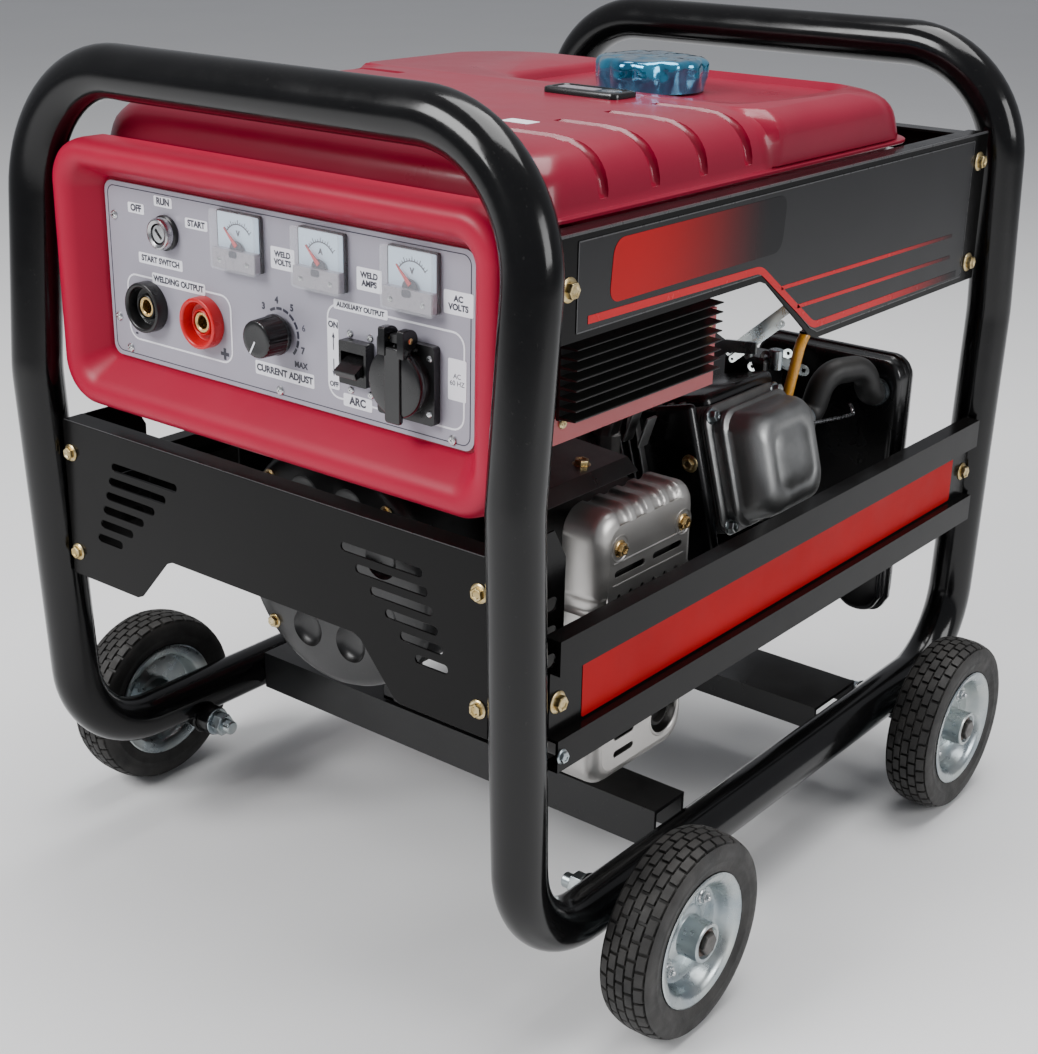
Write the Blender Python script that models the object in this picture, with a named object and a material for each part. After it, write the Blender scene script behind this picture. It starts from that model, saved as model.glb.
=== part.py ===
"""Engine driven welder: an open tubular frame on four wheels with the tank, console, alternator and engine in it.
Metres, +Z up, the control console faces -Y, the engine's cylinder points to +X, the crank axis runs along Y."""

import math

import bmesh
import bpy
from mathutils import Matrix, Vector
from mathutils.geometry import delaunay_2d_cdt

# frame
TUBE_R, TUBE_WALL = 0.019, 0.0022
POST_X, KNEE_Y, KNEE_Z = 0.2318, 0.3332, 0.419
TOP_Y, TOP_Z, TOP_BEND = 0.3142, 0.643, 0.092
RAIL_Z, RAIL_Y, RAIL_BEND = 0.092, 0.3180, 0.075
HOOP_GAP = 0.0001
SLEEVE_R, SLEEVE_IN, SLEEVE_OUT = 0.0125, 0.2005, 0.2575
# wheels
WHEEL_R, WHEEL_X, WHEEL_Y = 0.0762, 0.285, (-0.2014, 0.2176)
AXLE_R, AXLE_BORE = 0.0060, 0.00625
TYRE_FACETS = 22
# console
PLATE_Y, PLATE_T = -0.304, 0.0018
PLATE_X, PLATE_Z = 0.1745, (0.4360, 0.5646)
METERS = ((-0.0314, 0.5405), (0.0464, 0.5402), (0.1259, 0.5400))
METER_W, METER_H = 0.0222, 0.0205
KEY_AT, KNOB_AT = (-0.1085, 0.5350), (0.0030, 0.4825)
KEY_OFF = math.radians(45)
SOCKETS = (("weld_socket_black", -0.1305, 0.4785), ("weld_socket_red", -0.0714, 0.4775))
BREAKER_AT, OUTLET_AT = (0.0775, 0.4770), (0.1220, 0.4745)
LID_HINGE = (0.0130, 0.0290)  # out from the plate, up from the outlet's centre
# engine and alternator
CRANK = Vector((0.0, 0.053, 0.295))
TILT = math.radians(15)
ALT_R, ALT_Y = 0.0945, (-0.262, -0.0305)
SHAFT_R = 0.0125
# tank
CAP_AT = (0.043, 0.066)
SHARP = math.radians(35)

for old in list(bpy.data.objects):
    bpy.data.objects.remove(old)


def material(name, rgb, rough, metal=0.0):
    mat = bpy.data.materials.new(name)
    mat.use_nodes = True
    shader = mat.node_tree.nodes["Principled BSDF"]
    shader.inputs["Base Color"].default_value = (*rgb, 1)
    shader.inputs["Roughness"].default_value = rough
    shader.inputs["Metallic"].default_value = metal
    mat.diffuse_color = (*rgb, 1)
    return mat


TUBE_BLACK = material("tube_black", (0.010, 0.010, 0.011), 0.28)
SHEET_BLACK = material("sheet_black", (0.022, 0.022, 0.024), 0.42)
RED_PLASTIC = material("red_plastic", (0.56, 0.018, 0.045), 0.33)
RED_PAINT = material("red_paint", (0.45, 0.012, 0.020), 0.25)
PLATE_GREY = material("plate_grey", (0.42, 0.40, 0.47), 0.40)
ZINC = material("zinc", (0.55, 0.60, 0.62), 0.30, 1.0)
RUBBER = material("rubber", (0.020, 0.020, 0.021), 0.75)
TYRE = material("tyre", (0.030, 0.029, 0.028), 0.80)
BLACK_PLASTIC = material("black_plastic", (0.012, 0.012, 0.013), 0.40)
CLEAR = material("clear_cover", (0.80, 0.82, 0.84), 0.12)
NEEDLE_RED = material("needle_red", (0.60, 0.02, 0.02), 0.40)
ALLOY = material("cast_alloy", (0.42, 0.41, 0.38), 0.42, 1.0)
BRIGHT_STEEL = material("bright_steel", (0.62, 0.62, 0.62), 0.26, 1.0)
IRON = material("cast_iron", (0.10, 0.10, 0.10), 0.55, 1.0)
BLUE_CAP = material("blue_cap", (0.02, 0.16, 0.36), 0.30, 0.4)
AMBER = material("amber_hose", (0.75, 0.36, 0.03), 0.35)
SINK_BLACK = material("sink_black", (0.012, 0.012, 0.012), 0.50)

ALONG_Y = Matrix(((0, 1, 0, 0), (0, 0, 1, 0), (1, 0, 0, 0), (0, 0, 0, 1)))
ALONG_X = Matrix(((0, 0, 1, 0), (1, 0, 0, 0), (0, 1, 0, 0), (0, 0, 0, 1)))
FACING_FRONT = Matrix(((1, 0, 0, 0), (0, 0, -1, 0), (0, 1, 0, 0), (0, 0, 0, 1)))


def at(x, y, z):
    return Matrix.Translation((x, y, z))


def from_bmesh(bm):
    bmesh.ops.remove_doubles(bm, verts=bm.verts, dist=1e-6)
    bmesh.ops.recalc_face_normals(bm, faces=bm.faces)
    mesh = bpy.data.meshes.new("piece")
    bm.to_mesh(mesh)
    bm.free()
    obj = bpy.data.objects.new("piece", mesh)
    bpy.context.scene.collection.objects.link(obj)
    return obj


def loft(rings, closed=False, matrix=None):
    """Skins a list of rings that have the same number of points. closed joins the last ring to the first."""
    bm = bmesh.new()
    rows = [[bm.verts.new(p) for p in ring] for ring in rings]
    count = len(rows[0])
    pairs = list(zip(rows, rows[1:]))
    if closed:
        pairs.append((rows[-1], rows[0]))
    for low, high in pairs:
        for i in range(count):
            j = (i + 1) % count
            bm.faces.new((low[i], low[j], high[j], high[i]))
    if not closed:
        bm.faces.new(rows[0][::-1])
        bm.faces.new(rows[-1])
    if matrix is not None:
        bm.transform(matrix)
    return from_bmesh(bm)


def circle(radius, height, steps, phase=0.0):
    turns = [2 * math.pi * i / steps + phase for i in range(steps)]
    return [(radius * math.cos(t), radius * math.sin(t), height) for t in turns]


def lathe(profile, steps, matrix=None, closed=False):
    """Turns (radius, height) pairs round local Z."""
    return loft([circle(r, h, steps) for r, h in profile], closed, matrix)


def rounded(x0, x1, y0, y1, radius, steps=3):
    """A rectangle with rounded corners, anticlockwise, as 2D points."""
    corners = ((x1 - radius, y1 - radius, 0), (x0 + radius, y1 - radius, 1),
               (x0 + radius, y0 + radius, 2), (x1 - radius, y0 + radius, 3))
    points = []
    for cx, cy, quarter in corners:
        for i in range(steps + 1):
            t = (quarter + i / steps) * math.pi / 2
            points.append((cx + radius * math.cos(t), cy + radius * math.sin(t)))
    return points


def flat(points, height):
    return [(x, y, height) for x, y in points]


def prism(points, low, high, matrix=None):
    return loft([flat(points, low), flat(points, high)], False, matrix)


def box(low, high, bevel=0.0):
    x0, y0, z0 = low
    x1, y1, z1 = high
    obj = prism([(x0, y0), (x1, y0), (x1, y1), (x0, y1)], z0, z1)
    if bevel:
        bm = bmesh.new()
        bm.from_mesh(obj.data)
        bmesh.ops.bevel(bm, geom=bm.edges[:], offset=bevel, segments=2, profile=0.5, affect="EDGES")
        bm.to_mesh(obj.data)
        bm.free()
    return obj


def inside(point, loops):
    """Whether a 2D point lies in the outline and outside its holes."""
    x, y = point
    crossed = False
    for loop in loops:
        for (ax, ay), (bx, by) in zip(loop, loop[1:] + loop[:1]):
            if (ay > y) != (by > y) and x < (bx - ax) * (y - ay) / (by - ay) + ax:
                crossed = not crossed
    return crossed


def plate(outline, holes, low, high, matrix=None):
    """A flat plate with holes, from local height low to high."""
    loops = [list(outline), *[list(hole) for hole in holes]]
    points, edges = [], []
    for loop in loops:
        first, count = len(points), len(loop)
        points += [Vector(p) for p in loop]
        edges += [(first + i, first + (i + 1) % count) for i in range(count)]
    flat_points, _, triangles, *_ = delaunay_2d_cdt(points, edges, [], 0, 1e-7)
    kept = [t for t in triangles if inside(sum((flat_points[i] for i in t), Vector((0, 0))) / 3, loops)]
    bm = bmesh.new()
    bottom = [bm.verts.new((p.x, p.y, low)) for p in flat_points]
    top = [bm.verts.new((p.x, p.y, high)) for p in flat_points]
    for a, b, c in kept:
        bm.faces.new((bottom[c], bottom[b], bottom[a]))
        bm.faces.new((top[a], top[b], top[c]))
    for a, b in edges:
        bm.faces.new((bottom[a], bottom[b], top[b], top[a]))
    if matrix is not None:
        bm.transform(matrix)
    return from_bmesh(bm)


def combine(obj, others, operation):
    """Cuts the others from obj, or joins them to it, and removes them."""
    for other in others:
        modifier = obj.modifiers.new("combine", "BOOLEAN")
        modifier.operation = operation
        modifier.solver = "EXACT"
        modifier.object = other
        bpy.context.view_layer.update()
        graph = bpy.context.evaluated_depsgraph_get()
        mesh = bpy.data.meshes.new_from_object(obj.evaluated_get(graph))
        obj.modifiers.clear()
        obj.data = mesh
        bpy.data.objects.remove(other)
    return obj


def cut(obj, *others):
    return combine(obj, others, "DIFFERENCE")


def join(obj, *others):
    return combine(obj, others, "UNION")


def node(obj, name, mat, origin=(0, 0, 0)):
    """Names the piece, gives it its material and puts its origin on its joint axis."""
    obj.data.transform(Matrix.Translation(-Vector(origin)))
    obj.location = origin
    obj.name = name
    obj.data.name = name
    obj.data.materials.clear()
    obj.data.materials.append(mat)
    for face in obj.data.polygons:
        face.material_index = 0
    obj.data.shade_smooth()
    obj.data.set_sharp_from_angle(angle=SHARP)
    return obj


def bend_path(points, steps=4):
    """Rounds the corners of a path. Each point is (position, bend radius)."""
    path = [Vector(points[0][0])]
    for (before, _), (corner, radius), (after, _) in zip(points, points[1:], points[2:]):
        corner, into, out = Vector(corner), Vector(before), Vector(after)
        a, b = (into - corner).normalized(), (out - corner).normalized()
        half = a.angle(b) / 2
        reach = radius / math.tan(half)
        centre = corner + (a + b).normalized() * (radius / math.sin(half))
        start, end = corner + a * reach - centre, corner + b * reach - centre
        turn = start.angle(end)
        count = max(2, round(steps * turn / (math.pi / 2)))
        for i in range(count + 1):
            t = i / count
            path.append(centre + (start * math.sin((1 - t) * turn) + end * math.sin(t * turn)) / math.sin(turn))
    path.append(Vector(points[-1][0]))
    return path


def rings_along(path, radius, steps):
    tangents = []
    for i, point in enumerate(path):
        ahead = path[min(i + 1, len(path) - 1)]
        behind = path[max(i - 1, 0)]
        tangents.append((ahead - behind).normalized())
    side = tangents[0].orthogonal().normalized()
    rings = []
    for point, tangent in zip(path, tangents):
        side = (side - tangent * side.dot(tangent)).normalized()
        other = tangent.cross(side)
        turns = [2 * math.pi * k / steps for k in range(steps)]
        rings.append([point + radius * (side * math.cos(t) + other * math.sin(t)) for t in turns])
    return rings


def pipe(path, radius, steps, inner=0.0):
    outer = rings_along(path, radius, steps)
    if not inner:
        return loft(outer)
    return loft(outer + rings_along(path, inner, steps)[::-1], closed=True)


def hexagon(radius, low, high, matrix):
    return lathe([(radius, low), (radius, high)], 6, matrix)


def slot(x0, x1, z, half, steps=2):
    """A slot with round ends, as 2D points."""
    points = []
    for centre, first in ((x1 - half, -0.5), (x0 + half, 0.5)):
        for i in range(steps + 1):
            t = (first + i / steps) * math.pi
            points.append((centre + half * math.cos(t), z + half * math.sin(t)))
    return points


def disc(x, z, radius, steps=12):
    return [(x + px, z + pz) for px, pz, _ in circle(radius, 0, steps)]


# frame


def hoop(name, side):
    """One end hoop with its half of both bottom rails and the two welded wheel sleeves."""
    corners = []
    for x in (-POST_X, POST_X):
        half = [((x, side * HOOP_GAP, RAIL_Z), 0), ((x, side * RAIL_Y, RAIL_Z), RAIL_BEND),
                ((x, side * KNEE_Y, KNEE_Z), 0.12), ((x, side * TOP_Y, TOP_Z), TOP_BEND)]
        corners += half if x < 0 else half[::-1]
    path = bend_path(corners)
    obj = pipe(path, TUBE_R, 10, TUBE_R - TUBE_WALL)
    y = WHEEL_Y[0] if side < 0 else WHEEL_Y[1]
    for x in (-1, 1):
        ends = sorted((x * SLEEVE_IN, x * SLEEVE_OUT))
        place = at(0, y, WHEEL_R) @ ALONG_X
        join(obj, lathe([(SLEEVE_R, ends[0]), (SLEEVE_R, ends[1])], 10, place))
        ends = sorted((x * (SLEEVE_IN - 0.01), x * (SLEEVE_OUT + 0.01)))
        cut(obj, lathe([(AXLE_R + 0.0006, ends[0]), (AXLE_R + 0.0006, ends[1])], 10, place))
    return node(obj, name, TUBE_BLACK)


def crossmembers():
    """Two pressed channels that tie the bottom rails and carry the engine and the alternator."""
    half = POST_X - TUBE_R - 0.0004
    for name, y0, y1, z0, z1 in (("crossmember_front", -0.132, -0.092, 0.080, 0.114),
                                 ("crossmember_rear", 0.112, 0.182, 0.084, 0.106)):
        wall = 0.003
        outline = [(y0, z0), (y0 + wall, z0), (y0 + wall, z1 - wall), (y1 - wall, z1 - wall),
                   (y1 - wall, z0), (y1, z0), (y1, z1), (y0, z1)]
        obj = prism(outline, -half, half, ALONG_X)
        node(obj, name, SHEET_BLACK)


# wheels

RIM_PROFILE = (
    (AXLE_BORE, -0.0255), (0.0150, -0.0255), (0.0150, -0.0024), (0.0375, -0.0030), (0.0425, -0.0160),
    (0.0505, -0.0192), (0.0452, -0.0140), (0.0428, -0.0060), (0.0428, 0.0060), (0.0452, 0.0140),
    (0.0505, 0.0192), (0.0425, 0.0160), (0.0375, 0.0030), (0.0150, 0.0024), (0.0150, 0.0225),
    (AXLE_BORE, 0.0150))
TYRE_PROFILE = (
    (0.0470, 0.0120), (0.0530, 0.0178), (0.0640, 0.0202), (0.0735, 0.0170), (WHEEL_R, 0.0055),
    (WHEEL_R, -0.0055), (0.0735, -0.0170), (0.0640, -0.0202), (0.0530, -0.0178), (0.0470, -0.0120),
    (0.0700, -0.0120), (0.0700, 0.0120))


def wheel(corner, side, y):
    """Tyre, two-half pressed rim with its hub tube, and the axle bolt with its nut. side is +1 on the right."""
    place = at(side * WHEEL_X, y, WHEEL_R) @ ALONG_X
    if side < 0:
        place = place @ Matrix.Rotation(math.pi, 4, "X")
    centre = (side * WHEEL_X, y, WHEEL_R)
    flats = 1 / math.cos(math.pi / TYRE_FACETS)  # the tread's flats, not its corners, reach the wheel's radius
    tread = [(r * flats, h) for r, h in TYRE_PROFILE]
    node(lathe(tread, TYRE_FACETS, place, closed=True), f"tyre_{corner}", TYRE, centre)
    node(lathe(RIM_PROFILE, 16, place, closed=True), f"rim_{corner}", ZINC, centre)
    bolt = lathe([(AXLE_R, -0.1040), (AXLE_R, 0.0200)], 8, place)
    nut = hexagon(0.0100, -0.0955, -0.0855, place)
    head = hexagon(0.0090, 0.0195, 0.0250, place)
    node(join(bolt, nut, head), f"axle_bolt_{corner}", ZINC)


# body panels


def front_panel():
    """Louvred sheet below the console, with returns along its top and sides."""
    x1, top, low, high = 0.2105, 0.3825, 0.2565, 0.2965
    edge, lip = x1 - 0.0003, top - 0.0003
    outline = [(-edge, low), (-0.1340, low), (-0.1285, 0.2590), (-0.0985, 0.2935), (-0.0920, high),
               (0.0920, high), (0.0985, 0.2935), (0.1285, 0.2590), (0.1340, low), (edge, low), (edge, lip), (-edge, lip)]
    holes = []
    for row in range(6):
        inner, outer, z = 0.0820 + 0.0132 * row, 0.1545 + 0.0044 * row, 0.3570 - 0.0124 * row
        holes += [slot(inner, outer, z, 0.0031), slot(-outer, -inner, z, 0.0031)]
    holes += [disc(x, z, 0.0032, 8) for x in (-0.2023, 0.2023) for z in (0.357, 0.276)]
    obj = plate(outline, holes, 0, 0.0016, at(0, -0.3290, 0) @ FACING_FRONT)
    returns = [box((0.0008 - x1, -0.3300, top - 0.0016), (x1 - 0.0008, -0.3120, top))]
    for side in (-1, 1):
        slots = [slot(-0.2830, -0.2600, z, 0.0050) for z in (0.3300, 0.3094, 0.2888)]
        wing = [(-0.3298, low + 0.0004), (-0.2520, low + 0.0004), (-0.2520, 0.3600), (-0.2650, top - 0.0005),
                (-0.3298, top - 0.0005)]
        low_x, high_x = sorted((side * x1, side * (x1 - 0.0016)))
        returns.append(plate(wing, slots, low_x, high_x, ALONG_X))
    node(join(obj, *returns), "front_panel", SHEET_BLACK)


def side_panel(name, side):
    """Upper side panel with a stepped lower edge and a top flange that the tank rests on."""
    x, y1, top = 0.2290, 0.2955, 0.5790
    outline = [(-y1, 0.5125), (-0.0600, 0.5125), (-0.0500, 0.5090), (0.0150, 0.4600), (0.0260, 0.4550),
               (y1, 0.4550), (y1, top), (-y1, top)]
    holes = [disc(y, z, 0.0032, 8) for y, z in ((-0.2826, 0.5460), (0.2826, 0.5555), (0.2826, 0.4705))]
    low_x, high_x = sorted((side * x, side * (x - 0.0016)))
    obj = plate(outline, holes, low_x, high_x, ALONG_X)
    low_x, high_x = sorted((side * (x - 0.0008), side * 0.2130))
    flanges = [box((low_x, -y1 + 0.004, top - 0.0016), (high_x, y1 - 0.004, top))]
    flanges.append(box((low_x, 0.0300, 0.4550), (high_x, y1 - 0.004, 0.4566)))
    flanges.append(box((low_x, -y1 + 0.004, 0.5125), (high_x, -0.0650, 0.5141)))
    node(join(obj, *flanges), name, SHEET_BLACK)


def side_rail(name, side):
    """Lower side channel: two outer lips and a recessed web that carries the red band."""
    lip, web, t = 0.2480, 0.2400, 0.0020
    z0, z1, z2, z3 = 0.2345, 0.2555, 0.3055, 0.3280
    profile = [(lip, z0), (lip, z1 + t), (web, z1 + t), (web, z2 - t), (lip, z2 - t), (lip, z3),
               (lip - 0.014, z3), (lip - 0.014, z3 - t), (lip - t, z3 - t), (lip - t, z2), (web - t, z2),
               (web - t, z1), (lip - t, z1), (lip - t, z0 + t), (lip - 0.014, z0 + t), (lip - 0.014, z0)]
    turned = Matrix(((side, 0, 0, 0), (0, 0, 1, 0), (0, 1, 0, 0), (0, 0, 0, 1)))
    obj = prism(profile, -0.3048, 0.3048, turned)
    holes = [lathe([(0.0032, web - 0.02), (0.0032, web + 0.02)], 8, at(0, y, 0.2805) @ ALONG_X)
             for y in (-0.2965, 0.2965)]
    for hole in holes:
        if side < 0:
            hole.data.transform(Matrix.Rotation(math.pi, 4, "Z"))
    node(cut(obj, *holes), name, SHEET_BLACK)


def tank_support():
    """Rear cross-piece between the side panels, under the tank's open rear end."""
    profile = [(0.2960, 0.5560), (0.2960, 0.5770), (0.2780, 0.5770), (0.2780, 0.5750), (0.2940, 0.5750), (0.2940, 0.5560)]
    node(prism(profile, -0.2120, 0.2120, ALONG_X), "tank_support", SHEET_BLACK)


# console


def console_housing():
    """Moulded red surround: rounded outer rim, sloping recess and a ledge for the control plate."""
    rings = []
    for x, z0, z1, r, y in (
            (0.2108, 0.3975, 0.5950, 0.034, -0.2975), (0.2108, 0.3975, 0.5950, 0.034, -0.3140),
            (0.2094, 0.3988, 0.5938, 0.033, -0.3205), (0.2060, 0.4025, 0.5902, 0.028, -0.3250),
            (0.2010, 0.4075, 0.5858, 0.025, -0.3264), (0.1945, 0.4140, 0.5795, 0.021, -0.3255),
            (0.1900, 0.4185, 0.5760, 0.018, -0.3225), (0.1765, 0.4335, 0.5672, 0.009, -0.3050),
            (0.1760, 0.4340, 0.5667, 0.009, -0.3018), (0.1660, 0.4440, 0.5570, 0.006, -0.3018),
            (0.1660, 0.4440, 0.5570, 0.006, -0.2992), (0.1790, 0.4310, 0.5690, 0.010, -0.2992),
            (0.1925, 0.4160, 0.5785, 0.018, -0.3190), (0.2030, 0.4055, 0.5870, 0.024, -0.3215),
            (0.2080, 0.4003, 0.5922, 0.031, -0.3140), (0.2080, 0.4003, 0.5922, 0.031, -0.2975)):
        rings.append([(px, y, pz) for px, pz in rounded(-x, x, z0, z1, r, 3)])
    node(loft(rings, closed=True), "console_housing", RED_PLASTIC)


def control_plate():
    holes = [disc(*KEY_AT, 0.0094), disc(*KNOB_AT, 0.0045, 8)]
    holes += [disc(x, z, 0.0134) for _, x, z in SOCKETS]
    holes += [disc(x, z, 0.0171, 16) for x, z in METERS]
    bx, bz = BREAKER_AT
    ox, oz = OUTLET_AT
    holes.append(rounded(bx - 0.0100, bx + 0.0100, bz - 0.0125, bz + 0.0125, 0.001, 1))
    holes.append(disc(ox, oz, 0.0200, 16))
    outline = rounded(-PLATE_X, PLATE_X, *PLATE_Z, 0.008, 4)
    node(plate(outline, holes, 0, PLATE_T, at(0, PLATE_Y + PLATE_T, 0) @ FACING_FRONT), "control_plate", PLATE_GREY)


def on_plate(x, z):
    """Local Z points out of the control plate from its face."""
    return at(x, PLATE_Y, z) @ FACING_FRONT


def meters():
    for name, (x, z) in zip(("weld_volt", "weld_amp", "aux_volt"), METERS):
        place = on_plate(x, z)
        case = loft([flat(rounded(-METER_W, METER_W, -METER_H, METER_H, 0.002, 2), h) for h in (0.0003, 0.0090)]
                    + [flat(rounded(-METER_W + 0.001, METER_W - 0.001, -METER_H + 0.001, METER_H - 0.001, 0.002, 2),
                            0.0100)], matrix=place)
        join(case, lathe([(0.0160, -0.0300), (0.0160, 0.0010)], 14, place))
        window = rounded(-METER_W + 0.0030, METER_W - 0.0030, -0.0050, METER_H - 0.0030, 0.001, 1)
        cut(case, prism(window, 0.0050, 0.0200, place))
        node(case, f"meter_{name}", CLEAR)
        pivot = place @ Vector((0, -0.0060 + 0.0040, 0.0065))
        blade = Matrix.Rotation(math.radians(45), 4, "Z")
        shape = [(-0.0016, -0.0012), (0.0016, -0.0012), (0.0003, 0.0150), (-0.0003, 0.0150)]
        needle = prism(shape, -0.0004, 0.0004, Matrix.Translation(pivot) @ FACING_FRONT @ blade)
        node(needle, f"needle_{name}", NEEDLE_RED, pivot)


def key_switch():
    place = on_plate(*KEY_AT)
    body = lathe([(0.0086, -0.0350), (0.0086, 0.0002), (0.0125, 0.0003), (0.0125, 0.0035), (0.0112, 0.0060),
                  (0.0112, 0.0085), (0.0098, 0.0095), (0.0072, 0.0095), (0.0072, -0.0200), (0.0050, -0.0200),
                  (0.0050, -0.0350)], 16, place, closed=True)
    node(body, "key_switch", BRIGHT_STEEL)
    barrel = lathe([(0.0067, -0.0150), (0.0067, 0.0088)], 16, place)
    keyway = place @ Matrix.Rotation(KEY_OFF, 4, "Z")
    cut(barrel, prism(rounded(-0.0012, 0.0012, -0.0045, 0.0045, 0.0003, 1), 0.0020, 0.0200, keyway))
    node(barrel, "key_barrel", BRIGHT_STEEL, place @ Vector((0, 0, 0)))


def weld_sockets():
    """Round insulated sockets, each with a deep bore for the welding plug."""
    for name, x, z in SOCKETS:
        mat = BLACK_PLASTIC if name.endswith("black") else RED_PLASTIC
        body = lathe([(0.0126, -0.0300), (0.0126, 0.0002), (0.0184, 0.0003), (0.0184, 0.0085), (0.0176, 0.0096),
                      (0.0156, 0.0096), (0.0146, 0.0080), (0.0136, 0.0010), (0.0074, 0.0010), (0.0070, 0.0042),
                      (0.0050, 0.0042), (0.0048, -0.0300)], 18, on_plate(x, z), closed=True)
        node(body, name, mat)


def current_knob():
    x, z = KNOB_AT
    place = on_plate(x, z)
    body = lathe([(0.0030, -0.0180), (0.0030, 0.0028), (0.0138, 0.0030), (0.0141, 0.0055), (0.0133, 0.0218),
                  (0.0123, 0.0230)], 20, place)
    node(body, "current_knob", BLACK_PLASTIC, (x, PLATE_Y, z))


def breaker():
    x, z = BREAKER_AT
    place = on_plate(x, z)
    body = prism(rounded(-0.0122, 0.0122, -0.0145, 0.0145, 0.0012, 2), 0.0003, 0.0080, place)
    join(body, prism(rounded(-0.0096, 0.0096, -0.0120, 0.0120, 0.0008, 1), -0.0400, 0.0010, place))
    cut(body, prism(rounded(-0.0102, 0.0102, -0.0075, 0.0075, 0.0005, 1), -0.0040, 0.0200, place))
    node(body, "breaker_body", BLACK_PLASTIC)
    pivot = place @ Vector((0, 0, 0.0015))
    lever = [(-0.0040, -0.0030), (0.0040, -0.0030), (0.0040, 0.0040), (0.0022, 0.0150), (-0.0022, 0.0150), (-0.0040, 0.0040)]
    down = Matrix.Rotation(math.radians(24), 4, "X")
    sideways = Matrix(((0, 0, 1, 0), (1, 0, 0, 0), (0, 1, 0, 0), (0, 0, 0, 1)))
    toggle = prism(lever, -0.0094, 0.0094, Matrix.Translation(pivot) @ FACING_FRONT @ down @ sideways)
    node(toggle, "breaker_toggle", BLACK_PLASTIC, pivot)


def outlet():
    """Mains outlet with a round recess, and its lid on two cheeks that turn on a pin through the base's lug."""
    x, z = OUTLET_AT
    out, up = LID_HINGE
    place = on_plate(x, z)
    hinge = Vector((x, PLATE_Y - out, z + up))
    body = prism(rounded(-0.0245, 0.0245, -0.0260, 0.0260, 0.003, 2), 0.0003, 0.0060, place)
    join(body, lathe([(0.0192, -0.0300), (0.0192, 0.0010)], 16, place),
         lathe([(0.0215, 0.0050), (0.0215, 0.0110)], 20, place))
    cut(body, lathe([(0.0180, -0.0120), (0.0180, 0.0300)], 16, place))
    pins = [lathe([(0.0024, -0.0200), (0.0024, 0.0100)], 8, place @ at(px, 0, 0)) for px in (-0.0095, 0.0095)]
    cut(body, *pins)
    lug = [(0.0085, -0.0085), (0.0085, 0.0028), (-0.0025, 0.0028), (-0.0025, -0.0026), (0.0022, -0.0026),
           (0.0022, -0.0085)]
    join(body, prism(lug, -0.0045, 0.0045, Matrix.Translation(hinge) @ ALONG_X))
    node(body, "outlet_body", BLACK_PLASTIC)
    lid = lathe([(0.0225, 0.0116), (0.0225, 0.0160), (0.0212, 0.0172)], 24, place)
    join(lid, prism([(-0.0065, -0.0262), (0.0065, -0.0262), (0.0065, 0.0240), (-0.0065, 0.0240)], 0.0150, 0.0188, place))
    cheek = [(0.0073 * math.cos(t), 0.0073 * math.sin(t)) for t in [math.radians(a) for a in (-30, 0, 30, 60, 90)]]
    cheek += [(-0.0060, 0.0070), (-0.0066, 0.0060), (-0.0066, -0.0110), (0.0010, -0.0110), (0.0010, -0.0072)]
    block = prism(cheek, -0.0108, 0.0108, Matrix.Translation(hinge) @ ALONG_X)
    slit = prism([(-0.0043, -0.0068), (-0.0043, 0.0200), (0.0200, 0.0200), (0.0200, -0.0068)], -0.0052, 0.0052,
                 Matrix.Translation(hinge) @ ALONG_X)
    node(join(lid, cut(block, slit)), "outlet_lid", BLACK_PLASTIC, hinge)


# tank

TANK_RINGS = (
    (0.1880, -0.2230, 0.1880, 0.030, 0.5000), (0.1960, -0.2320, 0.1960, 0.034, 0.5060),
    (0.1980, -0.2350, 0.1980, 0.034, 0.5550), (0.1990, -0.2480, 0.1985, 0.034, 0.5700),
    (0.2010, -0.2880, 0.2000, 0.034, 0.5795), (0.2105, -0.2935, 0.2060, 0.034, 0.5797),
    (0.2105, -0.2935, 0.2060, 0.034, 0.5825), (0.2050, -0.2920, 0.2020, 0.034, 0.5835),
    (0.2020, -0.2900, 0.1990, 0.036, 0.5990), (0.1970, -0.2860, 0.1950, 0.038, 0.6090),
    (0.1890, -0.2790, 0.1880, 0.038, 0.6165), (0.1790, -0.2680, 0.1780, 0.038, 0.6205),
    (0.1600, -0.2500, 0.1600, 0.036, 0.6225))


def tank_ring(x, y0, y1, r, z, inset=0.0):
    return flat(rounded(-x + inset, x - inset, y0 + inset, y1 - inset, max(r - inset, 0.004), 3), z)


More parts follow.
